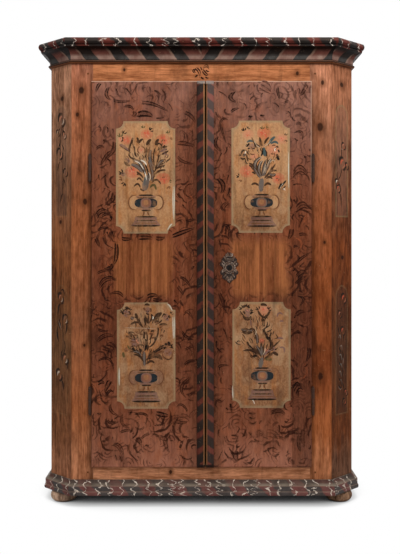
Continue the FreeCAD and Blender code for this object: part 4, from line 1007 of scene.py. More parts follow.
right_curls = (
    (63, 1605, 85, 1595, 99, 1580, 5, 1), (132, 1603, 112, 1580, 141, 1558, 10, 2),
    (188, 1570, 196, 1582, 210, 1589, 6, 1), (226, 1633, 250, 1620, 271, 1600, 14, 3),
    (240, 1600, 232, 1590, 232, 1578, 6, 1), (296, 1622, 296, 1598, 304, 1572, 6, 2),
    (320, 1567, 330, 1562, 337, 1561, 5, 1), (403, 1633, 410, 1622, 404, 1612, 9, 1),
    (401, 1616, 392, 1600, 381, 1589, 8, 2), (365, 1611, 366, 1602, 370, 1594, 6, 1),
    (375, 1620, 380, 1606, 376, 1592, 5, 1), (55, 1528, 60, 1512, 71, 1500, 6, 1),
    (94, 1539, 90, 1525, 99, 1511, 7, 1), (113, 1522, 128, 1535, 149, 1539, 6, 2),
    (182, 1512, 190, 1506, 200, 1510, 14, 1), (226, 1514, 236, 1510, 246, 1514, 9, 1),
    (300, 1540, 290, 1555, 270, 1560, 5, 1), (160, 1560, 172, 1548, 170, 1530, 5, 1),
    (205, 1570, 215, 1550, 205, 1535, 5, 1), (330, 1530, 345, 1515, 340, 1497, 5, 1),
    (105, 1495, 75, 1490, 66, 1434, 5, 2), (66, 1434, 54, 1400, 80, 1370, 8, 2),
    (80, 1370, 68, 1345, 60, 1329, 5, 1), (77, 1480, 80, 1450, 99, 1395, 5, 2),
    (99, 1395, 95, 1370, 82, 1360, 5, 1), (60, 1268, 84, 1240, 74, 1202, 11, 2),
    (107, 1285, 100, 1262, 99, 1246, 5, 1), (108, 1235, 106, 1215, 96, 1196, 10, 1),
    (77, 1141, 90, 1165, 111, 1174, 6, 3), (77, 1080, 104, 1078, 105, 1019, 7, 2),
    (71, 1030, 72, 1012, 77, 997, 6, 1), (110, 1062, 104, 1050, 108, 1036, 8, 1),
    (350, 1511, 354, 1495, 368, 1490, 6, 1), (354, 1445, 388, 1445, 387, 1406, 6, 2),
    (359, 1423, 368, 1416, 376, 1412, 6, 1), (396, 1352, 403, 1350, 408, 1352, 8, 1),
    (350, 1273, 381, 1306, 414, 1273, 11, 3), (362, 1278, 378, 1288, 392, 1270, 6, 1),
    (352, 1240, 372, 1246, 396, 1240, 5, 1), (354, 1185, 362, 1178, 366, 1165, 10, 1),
    (365, 1141, 392, 1165, 418, 1150, 10, 3), (392, 1119, 384, 1096, 376, 1074, 7, 1),
    (359, 1130, 352, 1118, 354, 1105, 6, 1), (350, 1074, 346, 1052, 336, 1030, 10, 2),
    (376, 1047, 392, 1052, 414, 1047, 7, 2), (400, 1085, 412, 1078, 414, 1064, 5, 1),
    (370, 941, 392, 962, 418, 975, 6, 2), (352, 908, 360, 916, 356, 928, 6, 1),
    (365, 881, 388, 905, 414, 897, 6, 3), (370, 853, 388, 872, 409, 870, 6, 2),
    (354, 1000, 366, 1006, 380, 1000, 5, 2), (396, 1010, 410, 1000, 412, 985, 5, 1),
    (359, 857, 384, 878, 409, 890, 5, 2), (352, 808, 352, 822, 358, 832, 8, 1),
    (352, 780, 362, 766, 370, 763, 6, 1), (370, 813, 394, 800, 376, 769, 6, 2),
    (365, 736, 384, 752, 403, 750, 9, 2), (359, 725, 364, 735, 370, 741, 7, 1),
    (409, 697, 410, 675, 403, 653, 8, 1), (372, 674, 377, 670, 382, 674, 6, 1),
    (414, 614, 416, 585, 403, 553, 7, 2), (398, 537, 408, 545, 414, 553, 6, 1),
    (418, 487, 416, 472, 412, 459, 8, 1), (359, 437, 374, 466, 392, 448, 11, 3),
    (376, 448, 374, 432, 376, 420, 9, 1), (356, 460, 352, 440, 356, 400, 6, 1),
    (66, 830, 82, 790, 88, 752, 7, 2), (94, 802, 88, 770, 108, 736, 8, 1),
    (82, 691, 96, 660, 99, 636, 7, 1), (60, 614, 70, 600, 82, 592, 7, 1),
    (60, 640, 57, 625, 60, 610, 8, 1), (71, 525, 74, 542, 112, 542, 6, 2),
    (78, 500, 74, 485, 82, 470, 6, 1), (112, 398, 114, 380, 118, 360, 10, 1),
    (94, 381, 100, 374, 105, 370, 7, 1), (182, 362, 196, 356, 212, 360, 8, 1),
    (184, 345, 198, 338, 212, 343, 9, 1), (182, 326, 200, 318, 214, 330, 10, 1),
    (265, 356, 300, 368, 328, 350, 6, 3), (224, 315, 228, 326, 238, 328, 6, 1),
    (271, 304, 290, 322, 298, 318, 6, 2), (298, 318, 302, 295, 296, 280, 11, 1),
    (276, 282, 296, 276, 315, 288, 6, 1), (212, 268, 224, 282, 240, 270, 16, 2),
    (182, 288, 190, 275, 199, 271, 7, 1), (273, 265, 300, 264, 322, 250, 6, 2),
    (188, 243, 208, 250, 226, 249, 6, 1), (237, 210, 252, 214, 262, 228, 6, 1),
    (271, 194, 292, 196, 301, 212, 6, 2), (177, 171, 188, 164, 200, 166, 6, 1),
    (92, 276, 98, 250, 118, 232, 8, 2), (143, 276, 136, 254, 127, 238, 7, 1),
    (134, 216, 130, 195, 140, 176, 14, 2), (156, 216, 158, 196, 150, 178, 8, 1),
    (326, 188, 350, 172, 358, 156, 9, 2), (70, 300, 66, 280, 72, 262, 7, 1),
    (112, 330, 108, 310, 116, 292, 5, 1), (330, 300, 338, 280, 332, 262, 5, 1),
    (395, 300, 392, 260, 398, 220, 10, 2), (380, 280, 376, 240, 384, 206, 8, 2),
    (408, 350, 406, 320, 410, 290, 7, 1))
door_spans = {"left": (-418, -26), "right": (56, 416)}
curls_low, curls_high, curl_margin, small_curls = 165, 1630, 8.0, 380


def on_bare_ground(side, x, z):
    """True where neither a field nor the bare band lies."""
    for left, right, low, high in fields[side]:
        if left - curl_margin < x < right + curl_margin and low - curl_margin < z < high + curl_margin:
            return False
    inner, outer = sorted(abs(edge) for edge in fields[side][0][:2])
    return not (inner < abs(x) < outer and fields[side][1][3] < z < fields[side][0][2])


def curl_strength(z):
    """How well a curl shows: the doors' lower ends are rubbed, and at the upper ends painted
    glare washes the curls out.
    """
    glare_above = min(1, max(0, (z - 1250) / 250))
    rubbed_below = min(1, max(0, (420 - z) / 80))
    return 1 - 0.3 * glare_above - 0.45 * rubbed_below


for side, strokes in (("left", left_curls), ("right", right_curls)):
    curls = Brushwork(door_face)
    for *places, width, hairs in strokes:
        paint = curl_dark if hand.random() < 0.65 else curl_soft
        dab(curls, places, width * 3.4, curl_soft, 0.34, -0.05)
        kept = hand.uniform(0.65, 1.0) * curl_strength(places[1])
        flick(curls, (*places, width * 1.5, hairs), paint, kept)
    low_x, high_x = door_spans[side]
    for _ in range(small_curls):
        start = Vector((hand.uniform(low_x, high_x), hand.uniform(curls_low + 5, curls_high - 8)))
        length, heading = hand.uniform(20, 76), hand.uniform(0, 2 * math.pi)
        bow = hand.choice((-1, 1)) * hand.uniform(0.18, 0.45)
        run = Vector((math.cos(heading), math.sin(heading))) * length
        path = (start, start + run / 2 + Vector((-run.y, run.x)) * bow, start + run)
        if all(on_bare_ground(side, x, z) and low_x < x < high_x and curls_low < z < curls_high
               for x, z in path):
            paint = hand.choice((curl_dark, curl_soft, curl_soft, curl_red))
            width, hairs = hand.uniform(3, 6), hand.choice((1, 1, 2))
            kept = hand.uniform(0.22, 0.5) * curl_strength(start.y)
            flick(curls, (*path[0], *path[1], *path[2], width, hairs), paint, kept)
    curls.lay(side + "_door_curls", side + "_door", "door_paint", on_door)

# The urns and flowers: a footed urn in each field with a spray of stems, leaves and blossoms, painted
# wet in few strokes: blue black for the bowl, greys for stems, coral and mauve for the flowers.
ink, slate, stem_grey, bark = tone(34, 28, 24), tone(40, 46, 50), tone(110, 98, 90), tone(70, 48, 34)
chalk, coral, rose, bone = tone(236, 226, 208), tone(206, 94, 70), tone(210, 134, 106), tone(188, 170, 146)
mauve, olive, teal, umber = tone(132, 98, 88), tone(96, 82, 50), tone(72, 86, 84), tone(112, 70, 46)
boss_brown, boss_orange, pale_ochre = tone(150, 100, 76), tone(178, 112, 72), tone(200, 158, 116)
border_light = tone(214, 212, 196)
thin_stem, field_lift = 8, 0.1


def rounded(x, z, half_width, half_height, power=2.0, points=28):
    """A round or squarish closed outline about a centre."""
    turns = [2 * math.pi * i / points for i in range(points)]
    bend = 2 / power
    return [(x + half_width * math.copysign(abs(math.cos(a)) ** bend, math.cos(a)),
             z + half_height * math.copysign(abs(math.sin(a)) ** bend, math.sin(a))) for a in turns]


def rule(layer, x, half, z, width, colour, cover):
    """A level brush line, so far to both sides of x."""
    wobble = hand.uniform(-0.6, 0.6)
    places = (x - half, z, x, z + wobble, x + half, z)
    dab(layer, places, width, colour, cover, field_lift + 0.12, even_widths)


def urn(layer, x, z, foot_z, handle_cover, handle_paint, rim_colour):
    """Bowl with a round boss, rim, ring handles, stem and stepped foot."""
    bowl_half, bowl_rise, boss_half, rim_rise = 44, 19, 19, 28
    ring_out, ring_half, ring_rise, ring_points, arc_points = 47, 20, 27, 28, range(-9, 10)
    for way in (-1, 1):
        ring_x, ring_z = x + way * ring_out, z + 2
        ring = rounded(ring_x, ring_z, ring_half, ring_rise, points=ring_points)
        shade = rounded(ring_x, ring_z, ring_half + 7, ring_rise + 7, points=18)
        layer.coat(shade, umber, field_lift, 0.03, 0.22)
        layer.coat(ring, handle_paint, field_lift, 0.045, 0.18 + 0.14 * handle_cover)
        arc = [ring[(i if way > 0 else ring_points // 2 - i) % ring_points] for i in arc_points]
        layer.ridge(arc, even_widths(8, len(arc)), umber, handle_cover, field_lift)
    layer.coat(rounded(x, z + rim_rise - 5, 38, 7, 3), mauve, field_lift, 0.05, 0.34)
    layer.coat(rounded(x, z, bowl_half + 10, bowl_rise + 8), stem_grey, field_lift, 0.038, 0.25)
    layer.coat(rounded(x, z, bowl_half, bowl_rise, 2.7), slate, field_lift, 0.1)
    rim_outer = rounded(x, z, boss_half + 2, bowl_rise, 2.6)
    rim_inner = rounded(x, z, boss_half - 2, bowl_rise - 4, 2.4)
    layer.edging(rim_outer, rim_inner, rim_colour, field_lift, 0.14, 0.5)
    layer.coat(rounded(x, z, boss_half - 1, bowl_rise - 2.5, 2.4), boss_brown, field_lift, 0.13)
    layer.coat(rounded(x, z + 2, boss_half * 0.5, bowl_rise * 0.5, 2.4), boss_orange, field_lift, 0.15, 0.28)
    rule(layer, x, 32, z + rim_rise + 2, 7, ink, 0.9)
    rule(layer, x, 40, z + rim_rise - 7, 5, ink, 0.5)
    rule(layer, x, 30, z - bowl_rise - 4, 8, mauve, 0.6)
    rule(layer, x + 1, 21, z - bowl_rise - 10, 7, ink, 0.8)
    stem_top = z - bowl_rise - 12
    step = (stem_top - foot_z) / 3.4
    for out, spread, width, paint, cover, lift in ((-10, -15, 8, umber, 0.8, 0), (10, 15, 8, umber, 0.8, 0),
                                                   (0, 0, 7, bone, 0.3, 0.05)):
        stem_places = (x + out, stem_top, x + out * 0.8, stem_top - step / 2, x + spread, foot_z + 2.2 * step)
        dab(layer, stem_places, width, paint, cover, field_lift + lift)
    foot = [(41, 2.1), (45, 1), (59, 0)]
    foot_outline = [(x + half, foot_z + rise * step) for half, rise in foot]
    foot_outline += [(x - half, foot_z + rise * step) for half, rise in reversed(foot)]
    layer.coat(foot_outline, mauve, field_lift, 0.05, 0.42)
    foot_rules = ((42, 2.1, 7, ink, 0.8), (44, 1.2, 6, ink, 0.6), (52, 0.6, 5, umber, 0.5),
                  (61, 0, 8, ink, 0.9))
    for half, rise, width, paint, cover in foot_rules:
        rule(layer, x, half, foot_z + rise * step, width, paint, cover)


def blossom(layer, x, z, size, petal, heart):
    """A soft round flower: a thin wash, loose petals and a heart of another colour; warm ones glow."""
    middle, petals = Vector((x, z)), 5
    if petal in (coral, rose):
        layer.coat(rounded(x, z, size * 1.7, size * 1.4), petal, field_lift, 0.03, 0.27)
    layer.coat(rounded(x, z, size, size * 0.85, 2.6, 14), petal, field_lift, 0.045, 0.3)
    for i in range(petals):
        turn = 2 * math.pi * (i + hand.uniform(-0.3, 0.3)) / petals
        tip = middle + Vector((math.cos(turn), math.sin(turn))) * size * hand.uniform(0.85, 1.2)
        half_way = middle * 0.4 + tip * 0.6
        dab(layer, (x, z, *half_way, *tip), size * 1.1, petal, 0.5 * hand.uniform(0.7, 1.2), field_lift)
    for _ in range(2):
        there = Vector((x + hand.uniform(-0.4, 0.4) * size, z + hand.uniform(-0.4, 0.4) * size))
        run = Vector((hand.uniform(-0.4, 0.4), hand.uniform(-0.4, 0.4))) * size
        dab(layer, (*(there - run), *there, *(there + run)), size * 0.45, heart, 0.6, field_lift + 0.1)


def stem(layer, places, width, colour, fullness):
    """A stem or leaf on a soft brown shade; thin ones keep their width, and the grey ones have dark edges."""
    dab(layer, places, width * 2 + 10, umber, 0.19, field_lift - 0.1)
    if colour is stem_grey:
        dab(layer, places, width + 11, bark, 0.95, field_lift, full_widths)
    profile = even_widths if width < thin_stem else full_widths
    if colour in (chalk, bone):
        dab(layer, places, width * 0.75 * fullness, colour, 0.8, field_lift + 0.14, profile)
    else:
        dab(layer, places, width * fullness, colour, 0.95, field_lift + 0.07, profile)


def tendrils(layer, middle, reach, root, count):
    """Fine brown strokes that fill a spray, each drawn outwards from its root."""
    for _ in range(count):
        turn, share = hand.uniform(0, 2 * math.pi), math.sqrt(hand.random())
        at = Vector((middle[0] + reach[0] * share * math.cos(turn),
                     middle[1] + reach[1] * share * math.sin(turn)))
        run = (at - Vector(root)).normalized() * hand.uniform(14, 30)
        bow = Vector((-run.y, run.x)) * hand.uniform(-0.35, 0.35)
        paint = hand.choice((bark, ink, umber, ink))
        places = (*(at - run / 2), *(at + bow), *(at + run / 2))
        dab(layer, places, hand.uniform(3.5, 7), paint, hand.uniform(0.4, 0.85), field_lift)


def sprig(layer, x, z, size, turn, colour):
    """Three small leaves from one point."""
    root = Vector((x, z))
    for spread in (-0.7, 0, 0.7):
        run = Vector((math.cos(turn + spread), math.sin(turn + spread))) * size
        side = Vector((-run.y, run.x)) * 0.12 * (1 if spread >= 0 else -1)
        dab(layer, (*root, *(root + run / 2 + side), *(root + run)), size * 0.5, colour, 0.85, field_lift)


# Each stem has three places, its width and its paint.
flower_stems = {
    "upper_left": (
        (-248, 1342, -274, 1348, -281, 1368, 6, bark), (-281, 1368, -277, 1392, -265, 1424, 7, bark),
        (-269, 1400, -269, 1414, -264, 1427, 9, bark), (-252, 1426, -247, 1420, -246, 1408, 8, bark),
        (-243, 1402, -236, 1414, -225, 1421, 9, bark), (-258, 1395, -259, 1372, -248, 1346, 6, bark),
        (-213, 1394, -206, 1408, -194, 1420, 12, bark), (-213, 1392, -214, 1366, -220, 1344, 7, bark),
        (-236, 1393, -247, 1378, -238, 1360, 5, umber), (-236, 1393, -219, 1380, -226, 1358, 5, umber),
        (-300, 1336, -290, 1322, -274, 1318, 9, bark), (-298, 1340, -286, 1342, -276, 1330, 6, mauve),
        (-276, 1320, -250, 1314, -226, 1286, 13, stem_grey),
        (-262, 1337, -234, 1322, -214, 1272, 12, stem_grey),
        (-220, 1218, -216, 1246, -203, 1288, 24, stem_grey),
        (-196, 1254, -190, 1290, -209, 1346, 10, stem_grey),
        (-183, 1309, -200, 1346, -192, 1382, 11, stem_grey), (-250, 1330, -228, 1310, -219, 1276, 5, ink),
        (-222, 1326, -209, 1298, -204, 1262, 6, ink), (-180, 1310, -186, 1352, -176, 1392, 6, bark),
        (-177, 1394, -174, 1408, -164, 1421, 12, bark), (-176, 1395, -162, 1402, -152, 1388, 6, bark),
        (-160, 1370, -150, 1376, -136, 1384, 8, mauve), (-156, 1360, -142, 1366, -126, 1376, 7, bark),
        (-152, 1386, -142, 1390, -130, 1390, 7, bark), (-148, 1370, -138, 1360, -128, 1358, 6, mauve),
        (-187, 1276, -164, 1296, -135, 1299, 8, bark), (-183, 1302, -164, 1311, -142, 1318, 8, bark),
        (-170, 1310, -160, 1330, -143, 1338, 9, stem_grey), (-177, 1320, -167, 1346, -171, 1362, 6, bark),
        (-166, 1322, -156, 1322, -146, 1328, 6, bark), (-184, 1290, -176, 1308, -172, 1330, 6, bark),
        (-251, 1296, -243, 1286, -234, 1286, 8, bark), (-252, 1280, -238, 1283, -224, 1264, 8, bark),
        (-250, 1258, -240, 1268, -226, 1250, 8, bark), (-263, 1233, -247, 1246, -236, 1229, 8, bark),
        (-238, 1230, -230, 1222, -220, 1219, 6, bark), (-194, 1248, -174, 1262, -156, 1242, 8, bark),
        (-202, 1228, -184, 1242, -175, 1217, 10, olive), (-194, 1264, -186, 1274, -178, 1277, 6, bark),
        (-319, 1396, -302, 1391, -278, 1370, 12, mauve), (-319, 1396, -300, 1384, -278, 1370, 4, bark),
        (-221, 1226, -219, 1250, -221, 1276, 6, teal), (-262, 1336, -238, 1324, -222, 1296, 7, chalk),
        (-222, 1296, -216, 1280, -212, 1256, 5, chalk), (-238, 1338, -222, 1332, -212, 1316, 8, chalk),
        (-203, 1256, -198, 1276, -206, 1292, 4, chalk)),
    "upper_right": (
        (231, 1212, 231, 1244, 237, 1270, 20, stem_grey), (234, 1262, 206, 1318, 238, 1352, 12, stem_grey),
        (236, 1270, 222, 1306, 240, 1340, 10, stem_grey), (238, 1274, 240, 1300, 251, 1344, 10, stem_grey),
        (241, 1274, 254, 1312, 273, 1349, 10, stem_grey), (242, 1266, 264, 1292, 290, 1329, 9, bark),
        (228, 1274, 206, 1310, 183, 1328, 9, bark), (199, 1312, 192, 1314, 183, 1320, 7, bark),
        (181, 1331, 177, 1346, 173, 1364, 6, bark), (209, 1282, 202, 1290, 194, 1290, 8, bark),
        (250, 1352, 243, 1368, 242, 1390, 15, teal), (229, 1352, 237, 1370, 236, 1388, 8, ink),
        (250, 1350, 252, 1364, 246, 1380, 5, ink), (236, 1390, 229, 1410, 225, 1429, 9, bark),
        (242, 1398, 250, 1414, 262, 1429, 9, bark), (260, 1399, 272, 1418, 287, 1430, 11, teal),
        (266, 1399, 284, 1409, 298, 1399, 9, teal), (232, 1388, 206, 1404, 194, 1430, 7, bark),
        (201, 1408, 188, 1413, 174, 1405, 9, teal), (152, 1360, 160, 1375, 171, 1374, 8, ink),
        (150, 1350, 160, 1343, 171, 1348, 8, ink), (160, 1352, 166, 1358, 172, 1356, 6, stem_grey),
        (178, 1394, 182, 1400, 186, 1404, 6, ink), (178, 1380, 184, 1384, 190, 1384, 6, bark),
        (192, 1380, 200, 1384, 208, 1380, 5, bark), (204, 1398, 210, 1392, 212, 1384, 5, bark),
        (186, 1366, 196, 1360, 206, 1362, 5, umber), (176, 1350, 186, 1342, 196, 1344, 5, umber),
        (289, 1393, 294, 1390, 298, 1386, 7, bark), (294, 1378, 299, 1374, 300, 1366, 7, bark),
        (268, 1366, 274, 1362, 280, 1364, 5, umber), (286, 1360, 292, 1358, 296, 1362, 6, bark),
        (272, 1392, 280, 1396, 288, 1394, 5, umber), (288, 1350, 296, 1346, 299, 1336, 11, ink),
        (259, 1281, 274, 1297, 295, 1295, 8, bark), (262, 1287, 276, 1280, 288, 1287, 9, stem_grey),
        (250, 1264, 262, 1273, 276, 1264, 9, bark), (242, 1236, 256, 1248, 271, 1239, 10, bark),
        (223, 1236, 208, 1248, 191, 1240, 9, bark), (298, 1224, 304, 1238, 312, 1252, 7, ink),
        (304, 1232, 316, 1246, 330, 1262, 7, ink), (312, 1220, 318, 1230, 328, 1240, 6, ink),
        (210, 1318, 216, 1338, 238, 1350, 3.5, bone), (224, 1300, 226, 1324, 240, 1338, 4, bone),
        (240, 1284, 244, 1306, 250, 1326, 4, bone), (252, 1304, 260, 1330, 272, 1346, 4, bone),
        (262, 1323, 276, 1338, 286, 1330, 3.5, bone), (250, 1288, 246, 1300, 250, 1312, 3.5, bone),
        (238, 1388, 258, 1402, 270, 1418, 3.5, bone), (228, 1386, 212, 1398, 202, 1418, 4, bone),
        (168, 1362, 170, 1368, 172, 1374, 5, chalk), (303, 1226, 309, 1238, 318, 1250, 3, chalk),
        (314, 1222, 320, 1228, 324, 1218, 5, chalk)),
    "lower_left": (
        (-220, 535, -222, 575, -222, 598, 11, stem_grey), (-221, 596, -213, 628, -220, 646, 11, ink),
        (-220, 644, -222, 660, -217, 676, 7, bark), (-222, 552, -240, 580, -264, 584, 9, bark),
        (-266, 595, -248, 596, -232, 580, 9, stem_grey), (-268, 612, -262, 604, -254, 598, 9, ink),
        (-241, 610, -237, 602, -237, 594, 8, ink), (-278, 640, -260, 634, -242, 638, 5, umber),
        (-270, 624, -256, 618, -244, 622, 5, umber), (-286, 624, -282, 612, -274, 606, 5, olive),
        (-292, 660, -286, 655, -278, 657, 7, bark), (-274, 672, -272, 660, -274, 650, 7, bark),
        (-262, 664, -254, 660, -248, 664, 6, umber), (-240, 668, -234, 664, -226, 666, 6, umber),
        (-216, 560, -190, 588, -154, 618, 9, bark), (-200, 568, -176, 582, -149, 563, 16, bark),
        (-182, 582, -166, 594, -146, 598, 8, umber), (-213, 547, -196, 560, -181, 550, 9, bark),
        (-160, 612, -152, 618, -144, 620, 7, bark), (-209, 611, -178, 640, -164, 700, 6, bark),
        (-165, 700, -148, 703, -131, 700, 9, bark), (-183, 709, -174, 714, -163, 715, 9, bark),
        (-164, 690, -156, 692, -150, 698, 5, umber), (-160, 652, -154, 660, -148, 652, 7, umber),
        (-198, 673, -190, 677, -182, 675, 7, bark), (-204, 664, -194, 666, -186, 660, 7, umber),
        (-196, 654, -188, 650, -182, 656, 6, umber), (-212, 690, -206, 682, -204, 672, 6, umber),
        (-221, 735, -213, 720, -208, 704, 9, bark), (-196, 744, -192, 728, -204, 707, 7, ink),
        (-152, 749, -170, 734, -188, 713, 14, bark), (-182, 712, -172, 708, -164, 708, 6, umber),
        (-226, 768, -221, 762, -218, 756, 7, umber), (-200, 766, -196, 758, -198, 750, 7, umber),
        (-220, 776, -210, 780, -200, 774, 9, bark), (-216, 748, -208, 742, -202, 744, 6, bark),
        (-224, 688, -242, 712, -252, 738, 8, bark), (-256, 746, -252, 736, -246, 722, 10, bark),
        (-240, 708, -258, 710, -277, 700, 8, bark), (-296, 764, -290, 768, -282, 762, 9, ink),
        (-310, 748, -305, 746, -302, 740, 8, ink), (-276, 730, -268, 726, -262, 722, 9, stem_grey),
        (-284, 754, -278, 748, -276, 740, 7, bark), (-150, 738, -144, 742, -140, 736, 6, bark),
        (-128, 738, -124, 732, -124, 724, 7, bark), (-140, 722, -132, 720, -124, 722, 6, mauve),
        (-142, 620, -138, 626, -132, 622, 8, ink), (-130, 628, -127, 632, -124, 624, 8, ink),
        (-118, 618, -115, 616, -114, 610, 7, ink), (-146, 606, -142, 612, -136, 612, 7, ink),
        (-150, 592, -146, 572, -128, 570, 5, umber), (-114, 598, -115, 576, -126, 570, 5, umber),
        (-304, 596, -302, 584, -300, 573, 9, olive), (-190, 734, -187, 728, -190, 722, 6, chalk),
        (-309, 690, -240, 688, -165, 685, 2, bone)),
    "lower_right": (
        (227, 532, 230, 552, 236, 578, 16, stem_grey), (234, 572, 206, 600, 162, 598, 9, bark),
        (232, 576, 217, 597, 197, 613, 10, bark), (234, 579, 224, 602, 209, 624, 8, stem_grey),
        (235, 580, 233, 602, 231, 624, 9, stem_grey), (239, 578, 258, 598, 284, 607, 9, mauve),
        (242, 569, 262, 580, 276, 591, 10, bark), (274, 596, 286, 590, 298, 581, 11, bark),
        (245, 566, 258, 570, 273, 563, 14, olive), (223, 572, 210, 581, 197, 576, 9, ink),
        (175, 636, 180, 628, 182, 618, 7, bark), (263, 598, 272, 624, 256, 652, 12, bark),
        (256, 650, 246, 668, 241, 690, 8, bark), (241, 690, 243, 708, 242, 726, 6, bark),
        (247, 654, 254, 652, 260, 640, 10, ink), (262, 656, 264, 646, 262, 634, 8, ink),
        (276, 618, 282, 606, 280, 596, 6, mauve), (268, 600, 276, 606, 283, 608, 7, bark),
        (214, 622, 216, 650, 209, 672, 7, stem_grey), (209, 672, 200, 684, 184, 684, 6, bark),
        (156, 676, 176, 668, 199, 674, 9, bark), (178, 684, 188, 678, 198, 682, 7, stem_grey),
        (152, 684, 164, 680, 174, 678, 6, stem_grey), (219, 757, 226, 742, 243, 724, 8, bark),
        (267, 760, 258, 742, 244, 724, 8, bark), (228, 774, 242, 780, 254, 772, 9, bark),
        (158, 766, 166, 772, 172, 772, 8, ink), (176, 774, 182, 770, 186, 764, 8, ink),
        (158, 738, 174, 722, 190, 726, 9, bark), (188, 740, 194, 748, 199, 748, 8, ink),
        (170, 756, 178, 752, 184, 756, 8, mauve), (172, 744, 180, 736, 186, 742, 8, mauve),
        (160, 754, 166, 748, 168, 740, 7, bark), (189, 722, 191, 708, 192, 696, 5, mauve),
        (292, 726, 300, 746, 318, 738, 6, mauve), (302, 712, 310, 716, 318, 712, 6, mauve),
        (292, 646, 304, 650, 318, 645, 7, mauve), (298, 610, 318, 612, 320, 590, 6, mauve),
        (237, 582, 245, 600, 247, 613, 4, bone), (206, 660, 212, 672, 208, 682, 4, bone),
        (196, 410, 202, 404, 205, 392, 4, chalk))}
blossoms = {
    "upper_left": (
        (-290, 1416, 13, coral, rose), (-314, 1420, 8, rose, coral), (-212, 1438, 14, coral, rose),
        (-148, 1417, 16, coral, umber), (-267, 1292, 17, coral, rose), (-148, 1267, 16, coral, umber),
        (-233, 1377, 8, rose, coral), (-285, 1333, 9, mauve, ink), (-143, 1376, 10, mauve, umber),
        (-303, 1284, 9, mauve, ink)),
    "upper_right": (
        (242, 1442, 16, coral, rose), (181, 1438, 13, rose, coral), (310, 1420, 14, rose, coral),
        (176, 1295, 17, coral, rose), (297, 1268, 15, coral, umber), (195, 1390, 13, mauve, umber),
        (278, 1376, 17, rose, chalk), (204, 1352, 9, rose, umber)),
    "lower_left": (
        (-290, 745, 15, mauve, umber), (-209, 758, 12, mauve, umber), (-137, 731, 13, mauve, umber),
        (-254, 634, 20, mauve, rose), (-130, 594, 17, mauve, umber), (-290, 604, 9, umber, mauve)),
    "lower_right": (
        (177, 752, 13, mauve, rose), (243, 758, 15, rose, coral), (234, 638, 8, coral, rose),
        (250, 602, 7, rose, coral))}
sprigs = {
    "upper_left": (
        (-312, 1428, 17, 1.9, olive), (-302, 1440, 15, 1.2, ink), (-226, 1462, 12, 1.6, olive),
        (-200, 1452, 16, 0.7, ink), (-128, 1442, 13, 1.8, olive), (-120, 1420, 9, 0.4, umber),
        (-306, 1288, 17, 2.6, ink), (-308, 1268, 14, 3.5, umber), (-298, 1250, 15, 4.2, ink),
        (-130, 1236, 12, 5.2, umber), (-124, 1256, 10, 0.2, olive), (-282, 1326, 14, 2.7, ink),
        (-146, 1384, 15, 0.5, ink)),
    "upper_right": (
        (166, 1452, 14, 1.9, ink), (178, 1460, 11, 0.9, ink), (236, 1458, 13, 1.6, olive),
        (250, 1462, 12, 0.3, olive), (326, 1434, 10, 1.5, ink), (328, 1416, 9, 4.6, ink),
        (146, 1276, 13, 2.8, ink), (152, 1262, 10, 4.4, umber), (182, 1392, 13, 2.2, ink),
        (292, 1354, 11, 5.4, ink), (156, 1358, 13, 2.6, ink)),
    "lower_left": (
        (-304, 752, 14, 2.5, ink), (-280, 758, 12, 1.0, ink), (-122, 618, 15, 1.4, ink),
        (-112, 596, 11, 0.1, umber), (-118, 742, 12, 0.9, ink), (-250, 666, 12, 1.2, umber)),
    "lower_right": (
        (158, 764, 15, 2.6, ink), (176, 770, 14, 1.5, ink), (176, 732, 15, 4.7, ink),
        (190, 752, 13, 0.4, ink), (222, 760, 15, 2.3, ink), (240, 774, 12, 1.5, ink),
        (258, 758, 15, 0.8, ink), (247, 734, 14, 4.7, ink))}
urns = {"upper_left": (-215, 1172, 1084, 0.9, pale_ochre, mauve),
        "upper_right": (233, 1174, 1083, 0.7, pale_ochre, stem_grey),
        "lower_left": (-214, 495, 404, 0.6, mauve, mauve),
        "lower_right": (235, 503, 412, 0.4, umber, stem_grey)}
spray_reach = {"upper_left": ((-208, 1350), (82, 70), (-215, 1225), 70),
               "upper_right": ((233, 1345), (68, 72), (232, 1225), 60),
               "lower_left": ((-208, 650), (80, 95), (-220, 540), 100),
               "lower_right": ((226, 650), (66, 90), (231, 540), 90)}
